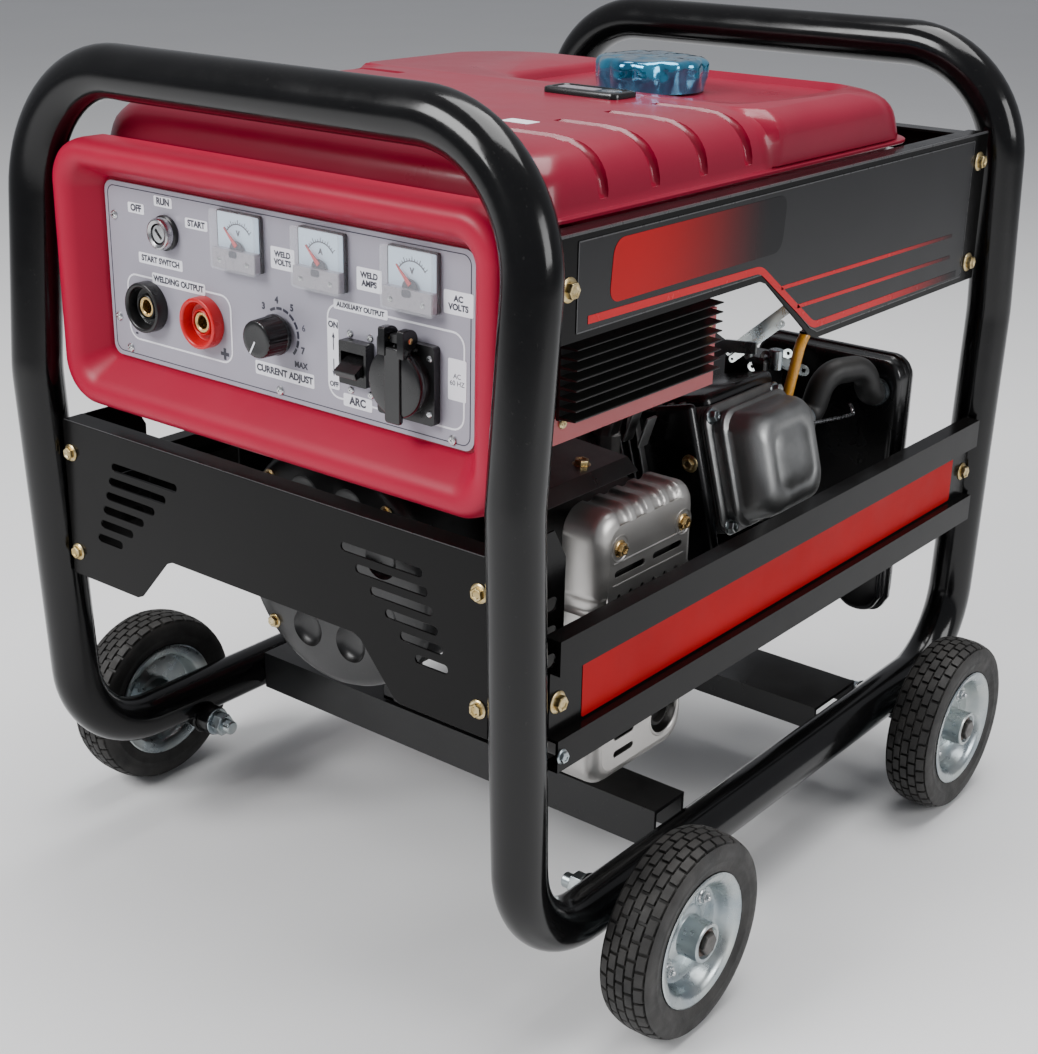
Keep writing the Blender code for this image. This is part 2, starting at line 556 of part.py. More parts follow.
def fuel_tank():
    """Pressed tank, hollow through its neck, with a seam flange, a tray round the cap and pressed shoulder grooves."""
    obj = loft([tank_ring(*ring) for ring in TANK_RINGS])
    tray = loft([flat(rounded(-0.060, 0.166, 0.008, 0.172, 0.030, 4), 0.6150),
                 flat(rounded(-0.068, 0.174, 0.000, 0.180, 0.034, 4), 0.6300)])
    cut(obj, tray)
    profile = [(0.120, 0.640), (0.120, 0.6195), (0.160, 0.6195), (0.1860, 0.6135), (0.1945, 0.6055), (0.1985, 0.5960),
               (0.2005, 0.5880), (0.230, 0.5880), (0.230, 0.640)]
    grooves = []
    turned = Matrix(((1, 0, 0, 0), (0, 0, 1, 0), (0, 1, 0, 0), (0, 0, 0, 1)))
    for side in (1, -1):
        for y in (-0.2150, -0.1580, -0.1010, -0.0440):
            groove = prism([(side * px, pz) for px, pz in profile], y - 0.0045, y + 0.0045, turned)
            grooves.append(groove)
    cut(obj, *grooves)
    inside = [(0.1920, -0.2280, 0.1910, 0.030, 0.5035), (0.1940, -0.2300, 0.1930, 0.030, 0.5580),
              (0.1950, -0.2440, 0.1930, 0.030, 0.5720), (0.1950, -0.2790, 0.1930, 0.030, 0.5835),
              (0.1930, -0.2790, 0.1910, 0.030, 0.5970), (0.1800, -0.2700, 0.1800, 0.030, 0.6110)]
    cut(obj, loft([tank_ring(*ring) for ring in inside]))
    x, y = CAP_AT
    join(obj, lathe([(0.0330, 0.6120), (0.0330, 0.6225)], 20, at(x, y, 0)))
    cut(obj, lathe([(0.0290, 0.6000), (0.0290, 0.6300)], 20, at(x, y, 0)))
    node(obj, "fuel_tank", RED_PAINT)


def fuel_cap():
    """Scalloped cap with a skirt that goes round the filler neck."""
    x, y = CAP_AT
    steps = 24

    def scallop(radius, height, depth):
        ring = []
        for i in range(steps):
            t, r = 2 * math.pi * i / steps, radius - depth * (i % 2)
            ring.append((r * math.cos(t), r * math.sin(t), height))
        return ring

    rings = [circle(0.0340, 0.6228, steps), circle(0.0420, 0.6228, steps), scallop(0.0450, 0.6260, 0.0025),
             scallop(0.0455, 0.6350, 0.0030), scallop(0.0440, 0.6395, 0.0025), circle(0.0400, 0.6420, steps),
             circle(0.0335, 0.6430, steps)]
    node(loft(rings, matrix=at(x, y, 0)), "fuel_cap", BLUE_CAP, (x, y, 0.6228))


def fuel_gauge():
    """Float gauge head let into the tank top, with its rod inside the tank left off."""
    outline = rounded(-0.034, 0.034, -0.0150, 0.0150, 0.006, 3)
    inner = rounded(-0.032, 0.032, -0.0130, 0.0130, 0.005, 3)
    node(loft([flat(outline, 0.6228), flat(outline, 0.6262), flat(inner, 0.6275)], matrix=at(0.0600, -0.0380, 0)),
         "fuel_gauge", BLACK_PLASTIC)


# electrics


def rectifier_box():
    """Red folded box behind the console's lower half, open at the front behind the control plate."""
    lo, hi = Vector((-0.2050, -0.2940, 0.4400)), Vector((0.2100, -0.0840, 0.4960))
    obj = box(lo, hi)
    t = 0.0020
    cut(obj, box((lo.x + t, lo.y - 0.01, lo.z + t), (hi.x - t, hi.y - t, hi.z - t)))
    cut(obj, box((hi.x - 0.01, -0.2700, 0.4630), (hi.x + 0.01, -0.1000, 0.4900)))
    node(obj, "rectifier_box", RED_PAINT)


def heat_sink():
    """Extruded sink with horizontal fins, let into the box's right wall."""
    pitch, count, low, high = 0.0066, 8, 0.4570, 0.5080
    root, tip = 0.2110, 0.2265
    outline = [(root - 0.0240, 0.4650), (root - 0.0240, 0.4880), (root, 0.4880), (root, high)]
    outline += [(root + 0.0025, high)]
    for i in range(count - 1, -1, -1):
        z = low + 0.0010 + i * pitch
        outline += [(root + 0.0025, z + 0.0020), (tip, z + 0.0014), (tip, z + 0.0004), (root + 0.0025, z)]
    outline += [(root + 0.0025, low), (root, low), (root, 0.4650)]
    turned = Matrix(((1, 0, 0, 0), (0, 0, 1, 0), (0, 1, 0, 0), (0, 0, 0, 1)))
    node(prism(outline, -0.2680, -0.1020, turned), "heat_sink", SINK_BLACK)


def on_crank(y=0.0):
    """Local Z runs along +Y on the crank axis."""
    return at(CRANK.x, y, CRANK.z) @ ALONG_Y


def alternator():
    """Alternator frame with the stator bore and the closed, dimpled end cover, and the foot under it."""
    y0, y1 = ALT_Y
    place = on_crank()
    obj = lathe([(0.0700, y0), (0.0860, y0 + 0.0015), (ALT_R - 0.0030, y0 + 0.0050), (ALT_R, y0 + 0.0110),
                 (ALT_R, y0 + 0.0180), (ALT_R - 0.0025, y0 + 0.0190), (ALT_R - 0.0025, y1 - 0.0200),
                 (ALT_R, y1 - 0.0190), (ALT_R, y1)], 22, place)
    foot = box((-0.0700, -0.1300, 0.1145), (0.0700, -0.0940, 0.2400))
    join(obj, foot)
    cut(obj, lathe([(0.0740, y0 + 0.0140), (0.0740, y1 + 0.0100)], 22, place))
    cut(obj, box((-0.0550, -0.1400, 0.1210), (0.0550, -0.0840, 0.1900)))
    dimples = [lathe([(0.0040, y0 - 0.0100), (0.0130, y0 - 0.0005), (0.0060, y0 + 0.0055)], 6,
                     place @ at(0.0560 * math.cos(t), 0.0560 * math.sin(t), 0))
               for t in [math.pi * k / 4 + math.pi / 8 for k in range(8)]]
    cut(obj, *dimples)
    node(obj, "alternator", SHEET_BLACK)


def crank_train():
    """Alternator rotor on its shaft, which runs through the crankcase, and the finned flywheel on its end."""
    place = on_crank()
    rotor = lathe([(0.0080, -0.2400), (SHAFT_R, -0.2380), (SHAFT_R, -0.2100), (0.0715, -0.2100), (0.0715, -0.0700),
                   (SHAFT_R, -0.0700), (SHAFT_R, 0.1440)], 20, place)
    node(rotor, "rotor_shaft", IRON, (CRANK.x, 0, CRANK.z))
    wheel_part = lathe([(0.0131, 0.1290), (0.0900, 0.1290), (0.0900, 0.1480), (0.0700, 0.1500), (0.0131, 0.1500)],
                       20, place, closed=True)
    ring = []
    for k in range(14):
        t = 2 * math.pi * k / 14
        for r, turn in ((0.060, 0.0), (0.086, 0.02), (0.086, 0.07), (0.060, 0.12)):
            ring.append((r * math.cos(t + turn), r * math.sin(t + turn)))
    fan = prism(ring, 0.1490, 0.1700, place)
    node(join(wheel_part, fan), "flywheel", IRON, (CRANK.x, 0, CRANK.z))


# engine


def on_cylinder(distance=0.0):
    """Local Z runs out along the cylinder, local X along +Y, local Y up across it."""
    out = Vector((math.cos(TILT), 0, math.sin(TILT)))
    up = Vector((-math.sin(TILT), 0, math.cos(TILT)))
    across = up.cross(out)
    m = Matrix((across, up, out)).transposed().to_4x4()
    return Matrix.Translation(CRANK + out * distance) @ m


def engine_block():
    """Crankcase, finned cylinder and head as one casting, with the crankshaft bore and the mounting feet."""
    obj = box((-0.0900, -0.0300, 0.1700), (0.0880, 0.1240, 0.3700), 0.012)
    rings = []
    for k in range(7):
        z = 0.0740 + k * 0.0114
        small, large = 0.0440, 0.0560
        for half, height in ((small, z), (large, z + 0.0004), (large, z + 0.0036), (small, z + 0.0040)):
            rings.append(flat(rounded(-half, half, -half, half, 0.012, 1), height))
    rings = [flat(rounded(-0.044, 0.044, -0.044, 0.044, 0.012, 1), 0.0500)] + rings
    rings += [flat(rounded(-0.0500, 0.0500, -0.0480, 0.0480, 0.012, 1), h) for h in (0.1530, 0.1690)]
    join(obj, loft(rings, matrix=on_cylinder()))
    join(obj, box((-0.0800, -0.0280, 0.1065), (0.0800, 0.1220, 0.1760), 0.004),
         lathe([(0.0090, 0.0900), (0.0090, 0.1092)], 12, at(0.1520, 0, 0.3440) @ ALONG_Y))
    cut(obj, box((-0.0560, -0.0500, 0.1000), (0.0560, 0.1500, 0.1480)))
    cut(obj, lathe([(SHAFT_R + 0.0007, -0.1000), (SHAFT_R + 0.0007, 0.2000)], 20, on_crank()))
    cut(obj, box((-0.1000, -0.0500, 0.0900), (0.1000, 0.1115, 0.1200)))
    node(obj, "engine_block", ALLOY)


def rocker_cover():
    place = on_cylinder()
    rings = [flat(rounded(-0.0550, 0.0550, -0.0520, 0.0520, 0.014, 3), h) for h in (0.1693, 0.1725)]
    for a, b, h, r in ((0.0480, 0.0455, 0.1728, 0.016), (0.0475, 0.0450, 0.1800, 0.016),
                       (0.0500, 0.0475, 0.1806, 0.016), (0.0500, 0.0475, 0.1840, 0.016),
                       (0.0465, 0.0440, 0.1846, 0.016), (0.0450, 0.0425, 0.2020, 0.018),
                       (0.0400, 0.0380, 0.2100, 0.018), (0.0330, 0.0310, 0.2130, 0.016)):
        rings.append(flat(rounded(-a, a, -b, b, r, 3), h))
    node(loft(rings, matrix=place), "rocker_cover", ALLOY)


def fan_shroud():
    """Black drum over the flywheel with a duct that leads its air on to the cylinder."""
    place = on_crank()
    drum = lathe([(0.1040, 0.1250), (0.1040, 0.1960), (0.1000, 0.2020), (0.0600, 0.2020), (0.0600, 0.1985),
                  (0.0985, 0.1985), (0.1005, 0.1950), (0.1005, 0.1250)], 22, place, closed=True)
    duct = box((0.0900, 0.1250, 0.3250), (0.1300, 0.1600, 0.3980), 0.004)
    cut(duct, lathe([(0.1020, 0.1000), (0.1020, 0.1900)], 22, place))
    node(join(drum, duct), "fan_shroud", BLACK_PLASTIC)


def recoil():
    place = on_crank()
    cover = lathe([(0.0780, 0.2024), (0.0780, 0.2060), (0.0700, 0.2300), (0.0640, 0.2380), (0.0300, 0.2400),
                   (0.0300, 0.2375), (0.0620, 0.2355), (0.0670, 0.2290), (0.0745, 0.2060), (0.0745, 0.2024)],
                  20, place, closed=True)
    hub = lathe([(0.0310, 0.2378), (0.0310, 0.2405)], 20, place)
    eyelet = lathe([(0.0100, 0.2250), (0.0100, 0.2440)], 12, at(-0.0550, 0, 0.0160) @ place)
    node(join(cover, hub, eyelet), "recoil_starter", BLACK_PLASTIC)
    grip = [(-0.0550, 0.2445, CRANK.z + 0.0160)]
    x, y, z = grip[0]
    bar = lathe([(0.0060, -0.0380), (0.0105, -0.0300), (0.0090, 0.0), (0.0105, 0.0300), (0.0060, 0.0380)], 12,
                at(x, y + 0.0180, z) @ Matrix.Rotation(math.radians(90), 4, "X") @ Matrix.Rotation(math.radians(90), 4, "Y"))
    stem = lathe([(0.0060, 0.0), (0.0075, 0.0120)], 12, at(x, y, z) @ ALONG_Y)
    node(join(bar, stem), "recoil_handle", BLACK_PLASTIC)


# exhaust, intake and controls


def muffler():
    body = box((0.1000, -0.1870, 0.1600), (0.1880, -0.0810, 0.3560), 0.012)
    inlet = lathe([(0.0140, -0.0900), (0.0140, -0.0040)], 12, at(0.1300, 0, 0.3150) @ ALONG_Y)
    node(join(body, inlet), "muffler", IRON)
    x0, x1, y0, y1, z0, z1 = 0.1640, 0.1970, -0.1940, -0.0740, 0.1500, 0.3650
    shield = []
    for inset, x, r in ((0.0, x0, 0.020), (0.0, x1 - 0.0120, 0.020), (0.0035, x1 - 0.0035, 0.018), (0.0120, x1, 0.014),
                        (0.0125, x1 - 0.0018, 0.013), (0.0052, x1 - 0.0048, 0.017), (0.0018, x1 - 0.0125, 0.0182),
                        (0.0018, x0, 0.0182)):
        shield.append([(x, py, pz) for py, pz in rounded(y0 + inset, y1 - inset, z0 + inset, z1 - inset, r, 3)])
    # the middle of the face is closed by a sheet that the pierced holes go through
    obj = loft(shield, closed=True)
    face = [slot(-0.1760, -0.1390, 0.3180, 0.0028), slot(-0.1290, -0.0920, 0.3180, 0.0028),
            slot(-0.1680, -0.1430, 0.1860, 0.0028), slot(-0.1680, -0.1430, 0.1720, 0.0028),
            disc(-0.1035, 0.1830, 0.0170, 16)]
    face += [disc(-0.1695 + 0.0143 * k, 0.2990, 0.0028, 6) for k in range(7)]
    sheet = plate(rounded(y0 + 0.0100, y1 - 0.0100, z0 + 0.0100, z1 - 0.0100, 0.013, 4), face, x1 - 0.0017, x1 - 0.0001, ALONG_X)
    join(obj, sheet)
    node(obj, "heat_shield", BRIGHT_STEEL)


def heat_guard():
    """Black folded sheet over the alternator that keeps the muffler's heat from the electrics."""
    outline = [(-0.1050, 0.3300), (-0.1034, 0.3300), (-0.1034, 0.3994), (0.1600, 0.3810), (0.1700, 0.3730),
               (0.1714, 0.3740), (0.1612, 0.3826), (-0.1050, 0.4012)]
    turned = Matrix(((1, 0, 0, 0), (0, 0, 1, 0), (0, 1, 0, 0), (0, 0, 0, 1)))
    node(prism(outline, -0.2500, -0.0360, turned), "heat_guard", SHEET_BLACK)


def carburettor():
    """Carburettor body with its throttle barrel, flanged to the head, and the float bowl under it."""
    x, z = 0.1520, 0.3440
    obj = lathe([(0.0190, 0.1095), (0.0190, 0.1135), (0.0145, 0.1140), (0.0145, 0.1400), (0.0175, 0.1405), (0.0175, 0.1500)],
                12, at(x, 0, z) @ ALONG_Y)
    bowl = lathe([(0.0100, -0.0420), (0.0165, -0.0400), (0.0170, -0.0180), (0.0120, -0.0100), (0.0120, 0.0)], 12,
                 at(x, 0.1270, z))
    top = lathe([(0.0090, 0.0), (0.0090, 0.0200)], 12, at(x, 0.1270, z))
    cut(obj, lathe([(0.0095, 0.0900), (0.0095, 0.1600)], 10, at(x, 0, z) @ ALONG_Y))
    join(obj, bowl, top)
    node(obj, "carburettor", ALLOY)


def intake_hose():
    """Rubber elbow that rises from the carburettor and drops to the air cleaner's inlet."""
    path = bend_path([((0.1520, 0.1505, 0.3440), 0), ((0.1520, 0.1790, 0.3440), 0.017), ((0.1600, 0.1880, 0.3910), 0.018),
                      ((0.1820, 0.2210, 0.3930), 0.017), ((0.1840, 0.2260, 0.3560), 0.017), ((0.1840, 0.2462, 0.3560), 0)], 3)
    node(pipe(path, 0.0150, 8, 0.0115), "intake_hose", RUBBER)


def air_cleaner():
    """Black moulded case: front half with a lip, domed rear cover, wavy lower edge."""
    x0, x1, z1 = 0.0480, 0.1980, 0.3850
    outline = rounded(x0, x1, 0.1550, z1, 0.018, 4)
    lower = [(x0 + 0.004, 0.1640), (x0 + 0.030, 0.1480), (x0 + 0.065, 0.1440), (x0 + 0.100, 0.1500), (x1 - 0.030, 0.1400),
             (x1 - 0.010, 0.1420), (x1, 0.1560)]
    upper = [p for p in outline if p[1] > 0.2]
    outline = lower + upper
    turned = Matrix(((1, 0, 0, 0), (0, 0, 1, 0), (0, 1, 0, 0), (0, 0, 0, 1)))
    cx, cz = (x0 + x1) / 2, 0.265

    def shrink(share):
        return [(cx + (px - cx) * share, cz + (pz - cz) * share) for px, pz in outline]

    rings = [[(px, pz, h) for px, pz in shrink(s)] for s, h in (
        (0.90, 0.2466), (0.955, 0.2480), (0.965, 0.2600), (1.0, 0.2610), (1.0, 0.2660), (0.965, 0.2670), (0.95, 0.2900), (0.88, 0.2990))]
    node(loft(rings, matrix=turned), "air_cleaner", BLACK_PLASTIC)


def governor_lever():
    """Zinc lever on the crankcase top that the governor turns, with its pivot boss."""
    pivot = Vector((0.0480, 0.1000, 0.3705))
    boss = lathe([(0.0070, 0.0002), (0.0070, 0.0120)], 12, Matrix.Translation(pivot))
    outline = [(-0.007, -0.006), (0.007, -0.006), (0.014, -0.003), (0.062, 0.028), (0.088, 0.031), (0.088, 0.041),
               (0.058, 0.038), (0.004, 0.006), (-0.007, 0.006)]
    turned = Matrix(((1, 0, 0, 0), (0, 0, 1, 0), (0, 1, 0, 0), (0, 0, 0, 1)))
    arm = prism(outline, -0.0014, 0.0014, Matrix.Translation(pivot + Vector((0, 0, 0.008))) @ turned)
    node(join(boss, arm), "governor_lever", ZINC, pivot)


def fuel_hose():
    path = bend_path([((0.1640, 0.1700, 0.4994), 0), ((0.1640, 0.1700, 0.4600), 0.020), ((0.1600, 0.1300, 0.4180), 0.020),
                      ((0.1520, 0.1270, 0.3660), 0)], 3)
    node(pipe(path, 0.0045, 8), "fuel_hose", AMBER)


hoop("frame_front_hoop", -1)
hoop("frame_rear_hoop", 1)
crossmembers()
for wheel_corner, wheel_side, wheel_y in (("fl", -1, WHEEL_Y[0]), ("fr", 1, WHEEL_Y[0]),
                                          ("rl", -1, WHEEL_Y[1]), ("rr", 1, WHEEL_Y[1])):
    wheel(wheel_corner, wheel_side, wheel_y)
front_panel()
side_panel("side_panel_right", 1)
side_panel("side_panel_left", -1)
side_rail("side_rail_right", 1)
side_rail("side_rail_left", -1)
tank_support()
console_housing()
control_plate()
meters()
key_switch()
weld_sockets()
current_knob()
breaker()
outlet()
fuel_tank()
fuel_cap()
fuel_gauge()
rectifier_box()
heat_sink()
alternator()
crank_train()
engine_block()
rocker_cover()
fan_shroud()
recoil()
muffler()
heat_guard()
carburettor()
intake_hose()
air_cleaner()
governor_lever()
fuel_hose()
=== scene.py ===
"""Visual model of an engine driven welder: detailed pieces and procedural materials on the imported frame.

Shapes are drawn in millimetres, and Shape.piece turns them into metres. +Z is up, the console faces -Y,
and the engine's cylinder and the muffler are on +X.
"""

from math import cos, degrees, hypot, pi, radians, sin, tan

import bmesh
import bpy
from mathutils import Matrix, Vector, noise
from mathutils.geometry import delaunay_2d_cdt


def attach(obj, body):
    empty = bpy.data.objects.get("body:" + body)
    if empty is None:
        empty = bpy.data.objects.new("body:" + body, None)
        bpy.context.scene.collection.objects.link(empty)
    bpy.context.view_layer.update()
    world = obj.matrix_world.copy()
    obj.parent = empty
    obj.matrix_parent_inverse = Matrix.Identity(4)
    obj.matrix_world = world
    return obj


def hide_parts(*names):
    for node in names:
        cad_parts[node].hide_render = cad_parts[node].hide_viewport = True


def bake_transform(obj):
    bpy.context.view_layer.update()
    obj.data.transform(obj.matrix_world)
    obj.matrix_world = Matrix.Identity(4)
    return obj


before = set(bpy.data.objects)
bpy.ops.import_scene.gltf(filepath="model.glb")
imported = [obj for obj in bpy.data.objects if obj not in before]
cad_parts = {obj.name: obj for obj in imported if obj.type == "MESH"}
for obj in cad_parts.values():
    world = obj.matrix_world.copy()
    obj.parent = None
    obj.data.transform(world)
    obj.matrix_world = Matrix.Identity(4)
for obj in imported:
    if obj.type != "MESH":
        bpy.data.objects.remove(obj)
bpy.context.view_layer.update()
MM = 0.001

# Turns of a shape drawn on its own Z or plane to lie along Y, along X, or upright.
ALONG_Y = Matrix(((0, 1, 0, 0), (0, 0, 1, 0), (1, 0, 0, 0), (0, 0, 0, 1)))
ALONG_X = Matrix(((0, 0, 1, 0), (1, 0, 0, 0), (0, 1, 0, 0), (0, 0, 0, 1)))
FACING_FRONT = Matrix(((1, 0, 0, 0), (0, 0, -1, 0), (0, 1, 0, 0), (0, 0, 0, 1)))
UPRIGHT = Matrix(((1, 0, 0, 0), (0, 0, 1, 0), (0, 1, 0, 0), (0, 0, 0, 1)))


# materials


def link(tree, a, b):
    tree.links.new(a, b)


def spread(tree, source, low, high):
    """Maps a noise value to a range."""
    node = tree.nodes.new("ShaderNodeMapRange")
    node.inputs["From Min"].default_value = 0.3
    node.inputs["From Max"].default_value = 0.7
    node.inputs["To Min"].default_value = low
    node.inputs["To Max"].default_value = high
    link(tree, source, node.inputs["Value"])
    return node.outputs["Result"]


def noise_node(tree, coords, scale, detail=3.0):
    node = tree.nodes.new("ShaderNodeTexNoise")
    node.inputs["Scale"].default_value = scale
    node.inputs["Detail"].default_value = detail
    link(tree, coords, node.inputs["Vector"])
    return node.outputs["Fac"]


def mix(tree, factor, a, b):
    node = tree.nodes.new("ShaderNodeMix")
    node.data_type = "RGBA"
    for socket, value in ((node.inputs[6], a), (node.inputs[7], b)):
        if isinstance(value, tuple):
            socket.default_value = (*value, 1)
        else:
            link(tree, value, socket)
    if isinstance(factor, float):
        node.inputs[0].default_value = factor
    else:
        link(tree, factor, node.inputs[0])
    return node.outputs[2]


def surface(name, base, rough, metal=0.0, vary=0.1, patch=30.0, rough_vary=0.06, bump=0.03, grain=900.0,
        other=None, dust=0.0, coat=0.0, coat_rough=0.08, alpha=1.0, specular=0.5, speck=0.0):
    """A surface with mottled colour, uneven gloss, fine grain, and dust on what faces up."""
    mat = bpy.data.materials.new(name)
    mat.use_nodes = True
    tree = mat.node_tree
    shader = tree.nodes["Principled BSDF"]
    coords = tree.nodes.new("ShaderNodeTexCoord").outputs["Object"]
    shader.inputs["Metallic"].default_value = metal
    shader.inputs["Specular IOR Level"].default_value = specular
    shader.inputs["Coat Weight"].default_value = coat
    shader.inputs["Coat Roughness"].default_value = coat_rough
    shader.inputs["Alpha"].default_value = alpha
    dark = tuple(c * (1 - vary) for c in base)
    light = other or tuple(min(1.0, c * (1 + vary)) for c in base)
    blotch = noise_node(tree, coords, patch, 4.0)
    colour = mix(tree, spread(tree, blotch, 0.0, 1.0), dark, light)
    if speck:
        spots = tree.nodes.new("ShaderNodeMapRange")
        spots.inputs["From Min"].default_value = 0.66
        spots.inputs["From Max"].default_value = 0.74
        spots.inputs["To Max"].default_value = speck
        link(tree, noise_node(tree, coords, 520.0, 2.0), spots.inputs["Value"])
        colour = mix(tree, spots.outputs["Result"], colour, (0.45, 0.43, 0.4))
    if dust:
        facing = tree.nodes.new("ShaderNodeSeparateXYZ")
        link(tree, tree.nodes.new("ShaderNodeNewGeometry").outputs["Normal"], facing.inputs["Vector"])
        up = tree.nodes.new("ShaderNodeMapRange")
        up.inputs["From Min"].default_value = 0.2
        up.inputs["To Max"].default_value = dust
        link(tree, facing.outputs["Z"], up.inputs["Value"])
        cloud = tree.nodes.new("ShaderNodeMath")
        cloud.operation = "MULTIPLY"
        link(tree, up.outputs["Result"], cloud.inputs[0])
        link(tree, spread(tree, noise_node(tree, coords, 22.0, 6.0), 0.35, 1.0), cloud.inputs[1])
        colour = mix(tree, cloud.outputs["Value"], colour, (0.36, 0.34, 0.31))
    link(tree, colour, shader.inputs["Base Color"])
    uneven = noise_node(tree, coords, patch * 2.7, 5.0)
    link(tree, spread(tree, uneven, max(0.02, rough - rough_vary), rough + rough_vary),
        shader.inputs["Roughness"])
    if bump:
        relief = tree.nodes.new("ShaderNodeBump")
        relief.inputs["Strength"].default_value = bump
        relief.inputs["Distance"].default_value = 0.001
        link(tree, noise_node(tree, coords, grain, 3.0), relief.inputs["Height"])
        link(tree, relief.outputs["Normal"], shader.inputs["Normal"])
    return mat


TUBE = surface("gloss_black_tube", (0.002, 0.002, 0.0023), 0.17, patch=14, rough_vary=0.05, bump=0.02,
    grain=420, dust=0.008, coat=0.1, coat_rough=0.05, speck=0.02, specular=0.3)
SHEET = surface("black_sheet", (0.005, 0.005, 0.0055), 0.34, patch=18, rough_vary=0.07, grain=700,
    dust=0.035, coat=0.1, coat_rough=0.18, speck=0.03)
CHARCOAL = surface("charcoal_sheet", (0.0034, 0.0032, 0.0032), 0.19, patch=12, bump=0.02, grain=600,
    dust=0.006, specular=0.12)
RED_PLASTIC = surface("red_plastic", (0.36, 0.0015, 0.03), 0.42, patch=9, vary=0.05, rough_vary=0.05,
    bump=0.05, grain=1500, dust=0.02, specular=0.3)
RED_TANK = surface("red_tank_paint", (0.225, 0.0012, 0.021), 0.32, patch=8, vary=0.06, rough_vary=0.05,
    bump=0.02, grain=260, dust=0.03, coat=0.28, coat_rough=0.12, speck=0.01, specular=0.25)
RED_BOX = surface("red_box_paint", (0.26, 0.012, 0.016), 0.34, patch=14, grain=500, dust=0.08, coat=0.4,
    coat_rough=0.15)
PLATE = surface("printed_plate", (0.33, 0.318, 0.372), 0.36, metal=0.15, patch=20, vary=0.03, bump=0.012,
    grain=1300)
WHITE_PRINT = surface("white_print", (0.8, 0.8, 0.85), 0.4, patch=60, vary=0.03, bump=0.01)
# Dark ink for the printed marks; the same colour also gives the painted shade of the small holes in the
# rectifier box.
DARK_PRINT_AND_HOLE_SHADE = surface("dark_print_and_hole_shade", (0.03, 0.03, 0.045), 0.42, patch=60, vary=0.15, bump=0.01)
BLACK_PLASTIC = surface("black_plastic", (0.0055, 0.0055, 0.006), 0.32, patch=40, rough_vary=0.08,
    bump=0.05, grain=1300, dust=0.02)
BLACK_SATIN = surface("black_satin_plastic", (0.0045, 0.0045, 0.005), 0.24, patch=16, rough_vary=0.07,
    grain=800, dust=0.02, coat=0.15, coat_rough=0.15)
RED_SOCKET = surface("red_socket", (0.52, 0.004, 0.0085), 0.3, patch=40, vary=0.05, bump=0.04, grain=1300)
BRASS = surface("brass", (0.72, 0.5, 0.22), 0.28, 1.0, patch=150, vary=0.15, rough_vary=0.1, bump=0.04)
CHROME = surface("chrome", (0.44, 0.44, 0.45), 0.24, 1.0, patch=80, vary=0.06, bump=0.01)
STEEL = surface("bright_screw_steel", (0.58, 0.59, 0.6), 0.26, 1.0, patch=160, vary=0.12, rough_vary=0.1)
ZINC = surface("bright_zinc", (0.37, 0.43, 0.47), 0.3, 1.0, vary=0.14, rough_vary=0.08, grain=260,
    other=(0.52, 0.55, 0.53))
YELLOW_ZINC = surface("yellow_zinc", (0.5, 0.36, 0.14), 0.34, 1.0, patch=190, vary=0.2, rough_vary=0.1,
    bump=0.05, grain=700, other=(0.66, 0.56, 0.34))
SHIELD = surface("pressed_steel_shield", (0.52, 0.505, 0.485), 0.4, 0.9, patch=16, vary=0.06,
    rough_vary=0.05, grain=500)
ALLOY = surface("cast_alloy", (0.27, 0.273, 0.272), 0.42, 0.85, patch=34, vary=0.16, rough_vary=0.08,
    bump=0.16, grain=1100, dust=0.05)
DARK_ALLOY = surface("dark_cast_alloy", (0.17, 0.165, 0.16), 0.46, 0.7, patch=34, vary=0.22, rough_vary=0.1,
    bump=0.2, dust=0.1)
SOOT = surface("muffler_black", (0.02, 0.019, 0.018), 0.55, 0.3, vary=0.3, bump=0.15, grain=500, dust=0.14)
SINK = surface("black_anodised", (0.0045, 0.0045, 0.0045), 0.42, 0.2, patch=50, vary=0.2, dust=0.03)
RUBBER = surface("black_rubber", (0.008, 0.008, 0.008), 0.5, patch=60, vary=0.2, bump=0.12, dust=0.06)
TYRE = surface("tyre_rubber", (0.011, 0.0105, 0.01), 0.64, patch=42, vary=0.3, rough_vary=0.1, bump=0.22,
    grain=800, other=(0.028, 0.026, 0.024), dust=0.03)
AMBER = surface("amber_hose", (0.7, 0.32, 0.025), 0.3, patch=90, vary=0.15, coat=0.4)
CLEAR = surface("clear_acrylic", (0.86, 0.88, 0.93), 0.07, patch=60, vary=0.02, rough_vary=0.03, bump=0.01,
    alpha=0.09, specular=0.8)
DIAL = surface("dial_white", (0.55, 0.68, 0.8), 0.5, patch=60, vary=0.03, bump=0.01)
FROST = surface("frosted_acrylic", (0.27, 0.25, 0.28), 0.3, patch=90, vary=0.06, coat=0.5)
NEEDLE = surface("needle_red", (0.55, 0.02, 0.02), 0.4, patch=60, vary=0.04, bump=0.01)
BLUE = surface("blue_film", (0.012, 0.17, 0.34), 0.14, 0.75, patch=55, vary=0.35, rough_vary=0.07,
    bump=0.55, grain=75, other=(0.05, 0.36, 0.58), coat=1.0, coat_rough=0.04)
RED_BAND = surface("red_band", (0.34, 0.003, 0.0055), 0.46, patch=14, vary=0.08, rough_vary=0.05, grain=500,
    specular=0.08)
# Dark grey, lighter than the black sheet: on the top rims of the front and side panels it is painted
# highlight; round the decals it is their thin border line.
EDGE_HIGHLIGHT_AND_BORDER = surface("edge_highlight_and_border", (0.045, 0.045, 0.047), 0.3, patch=40, vary=0.08, bump=0.02)
GREASE = surface("greased_bush", (0.06, 0.028, 0.016), 0.35, 0.3, patch=160, vary=0.4, bump=0.2, grain=500)
DARK_STEEL = surface("oiled_steel", (0.1, 0.095, 0.09), 0.38, 0.9, patch=120, vary=0.3, bump=0.1, grain=600)
FLOOR = surface("studio_floor", (0.8, 0.8, 0.8), 0.75, patch=2.0, vary=0.01, bump=0.0)


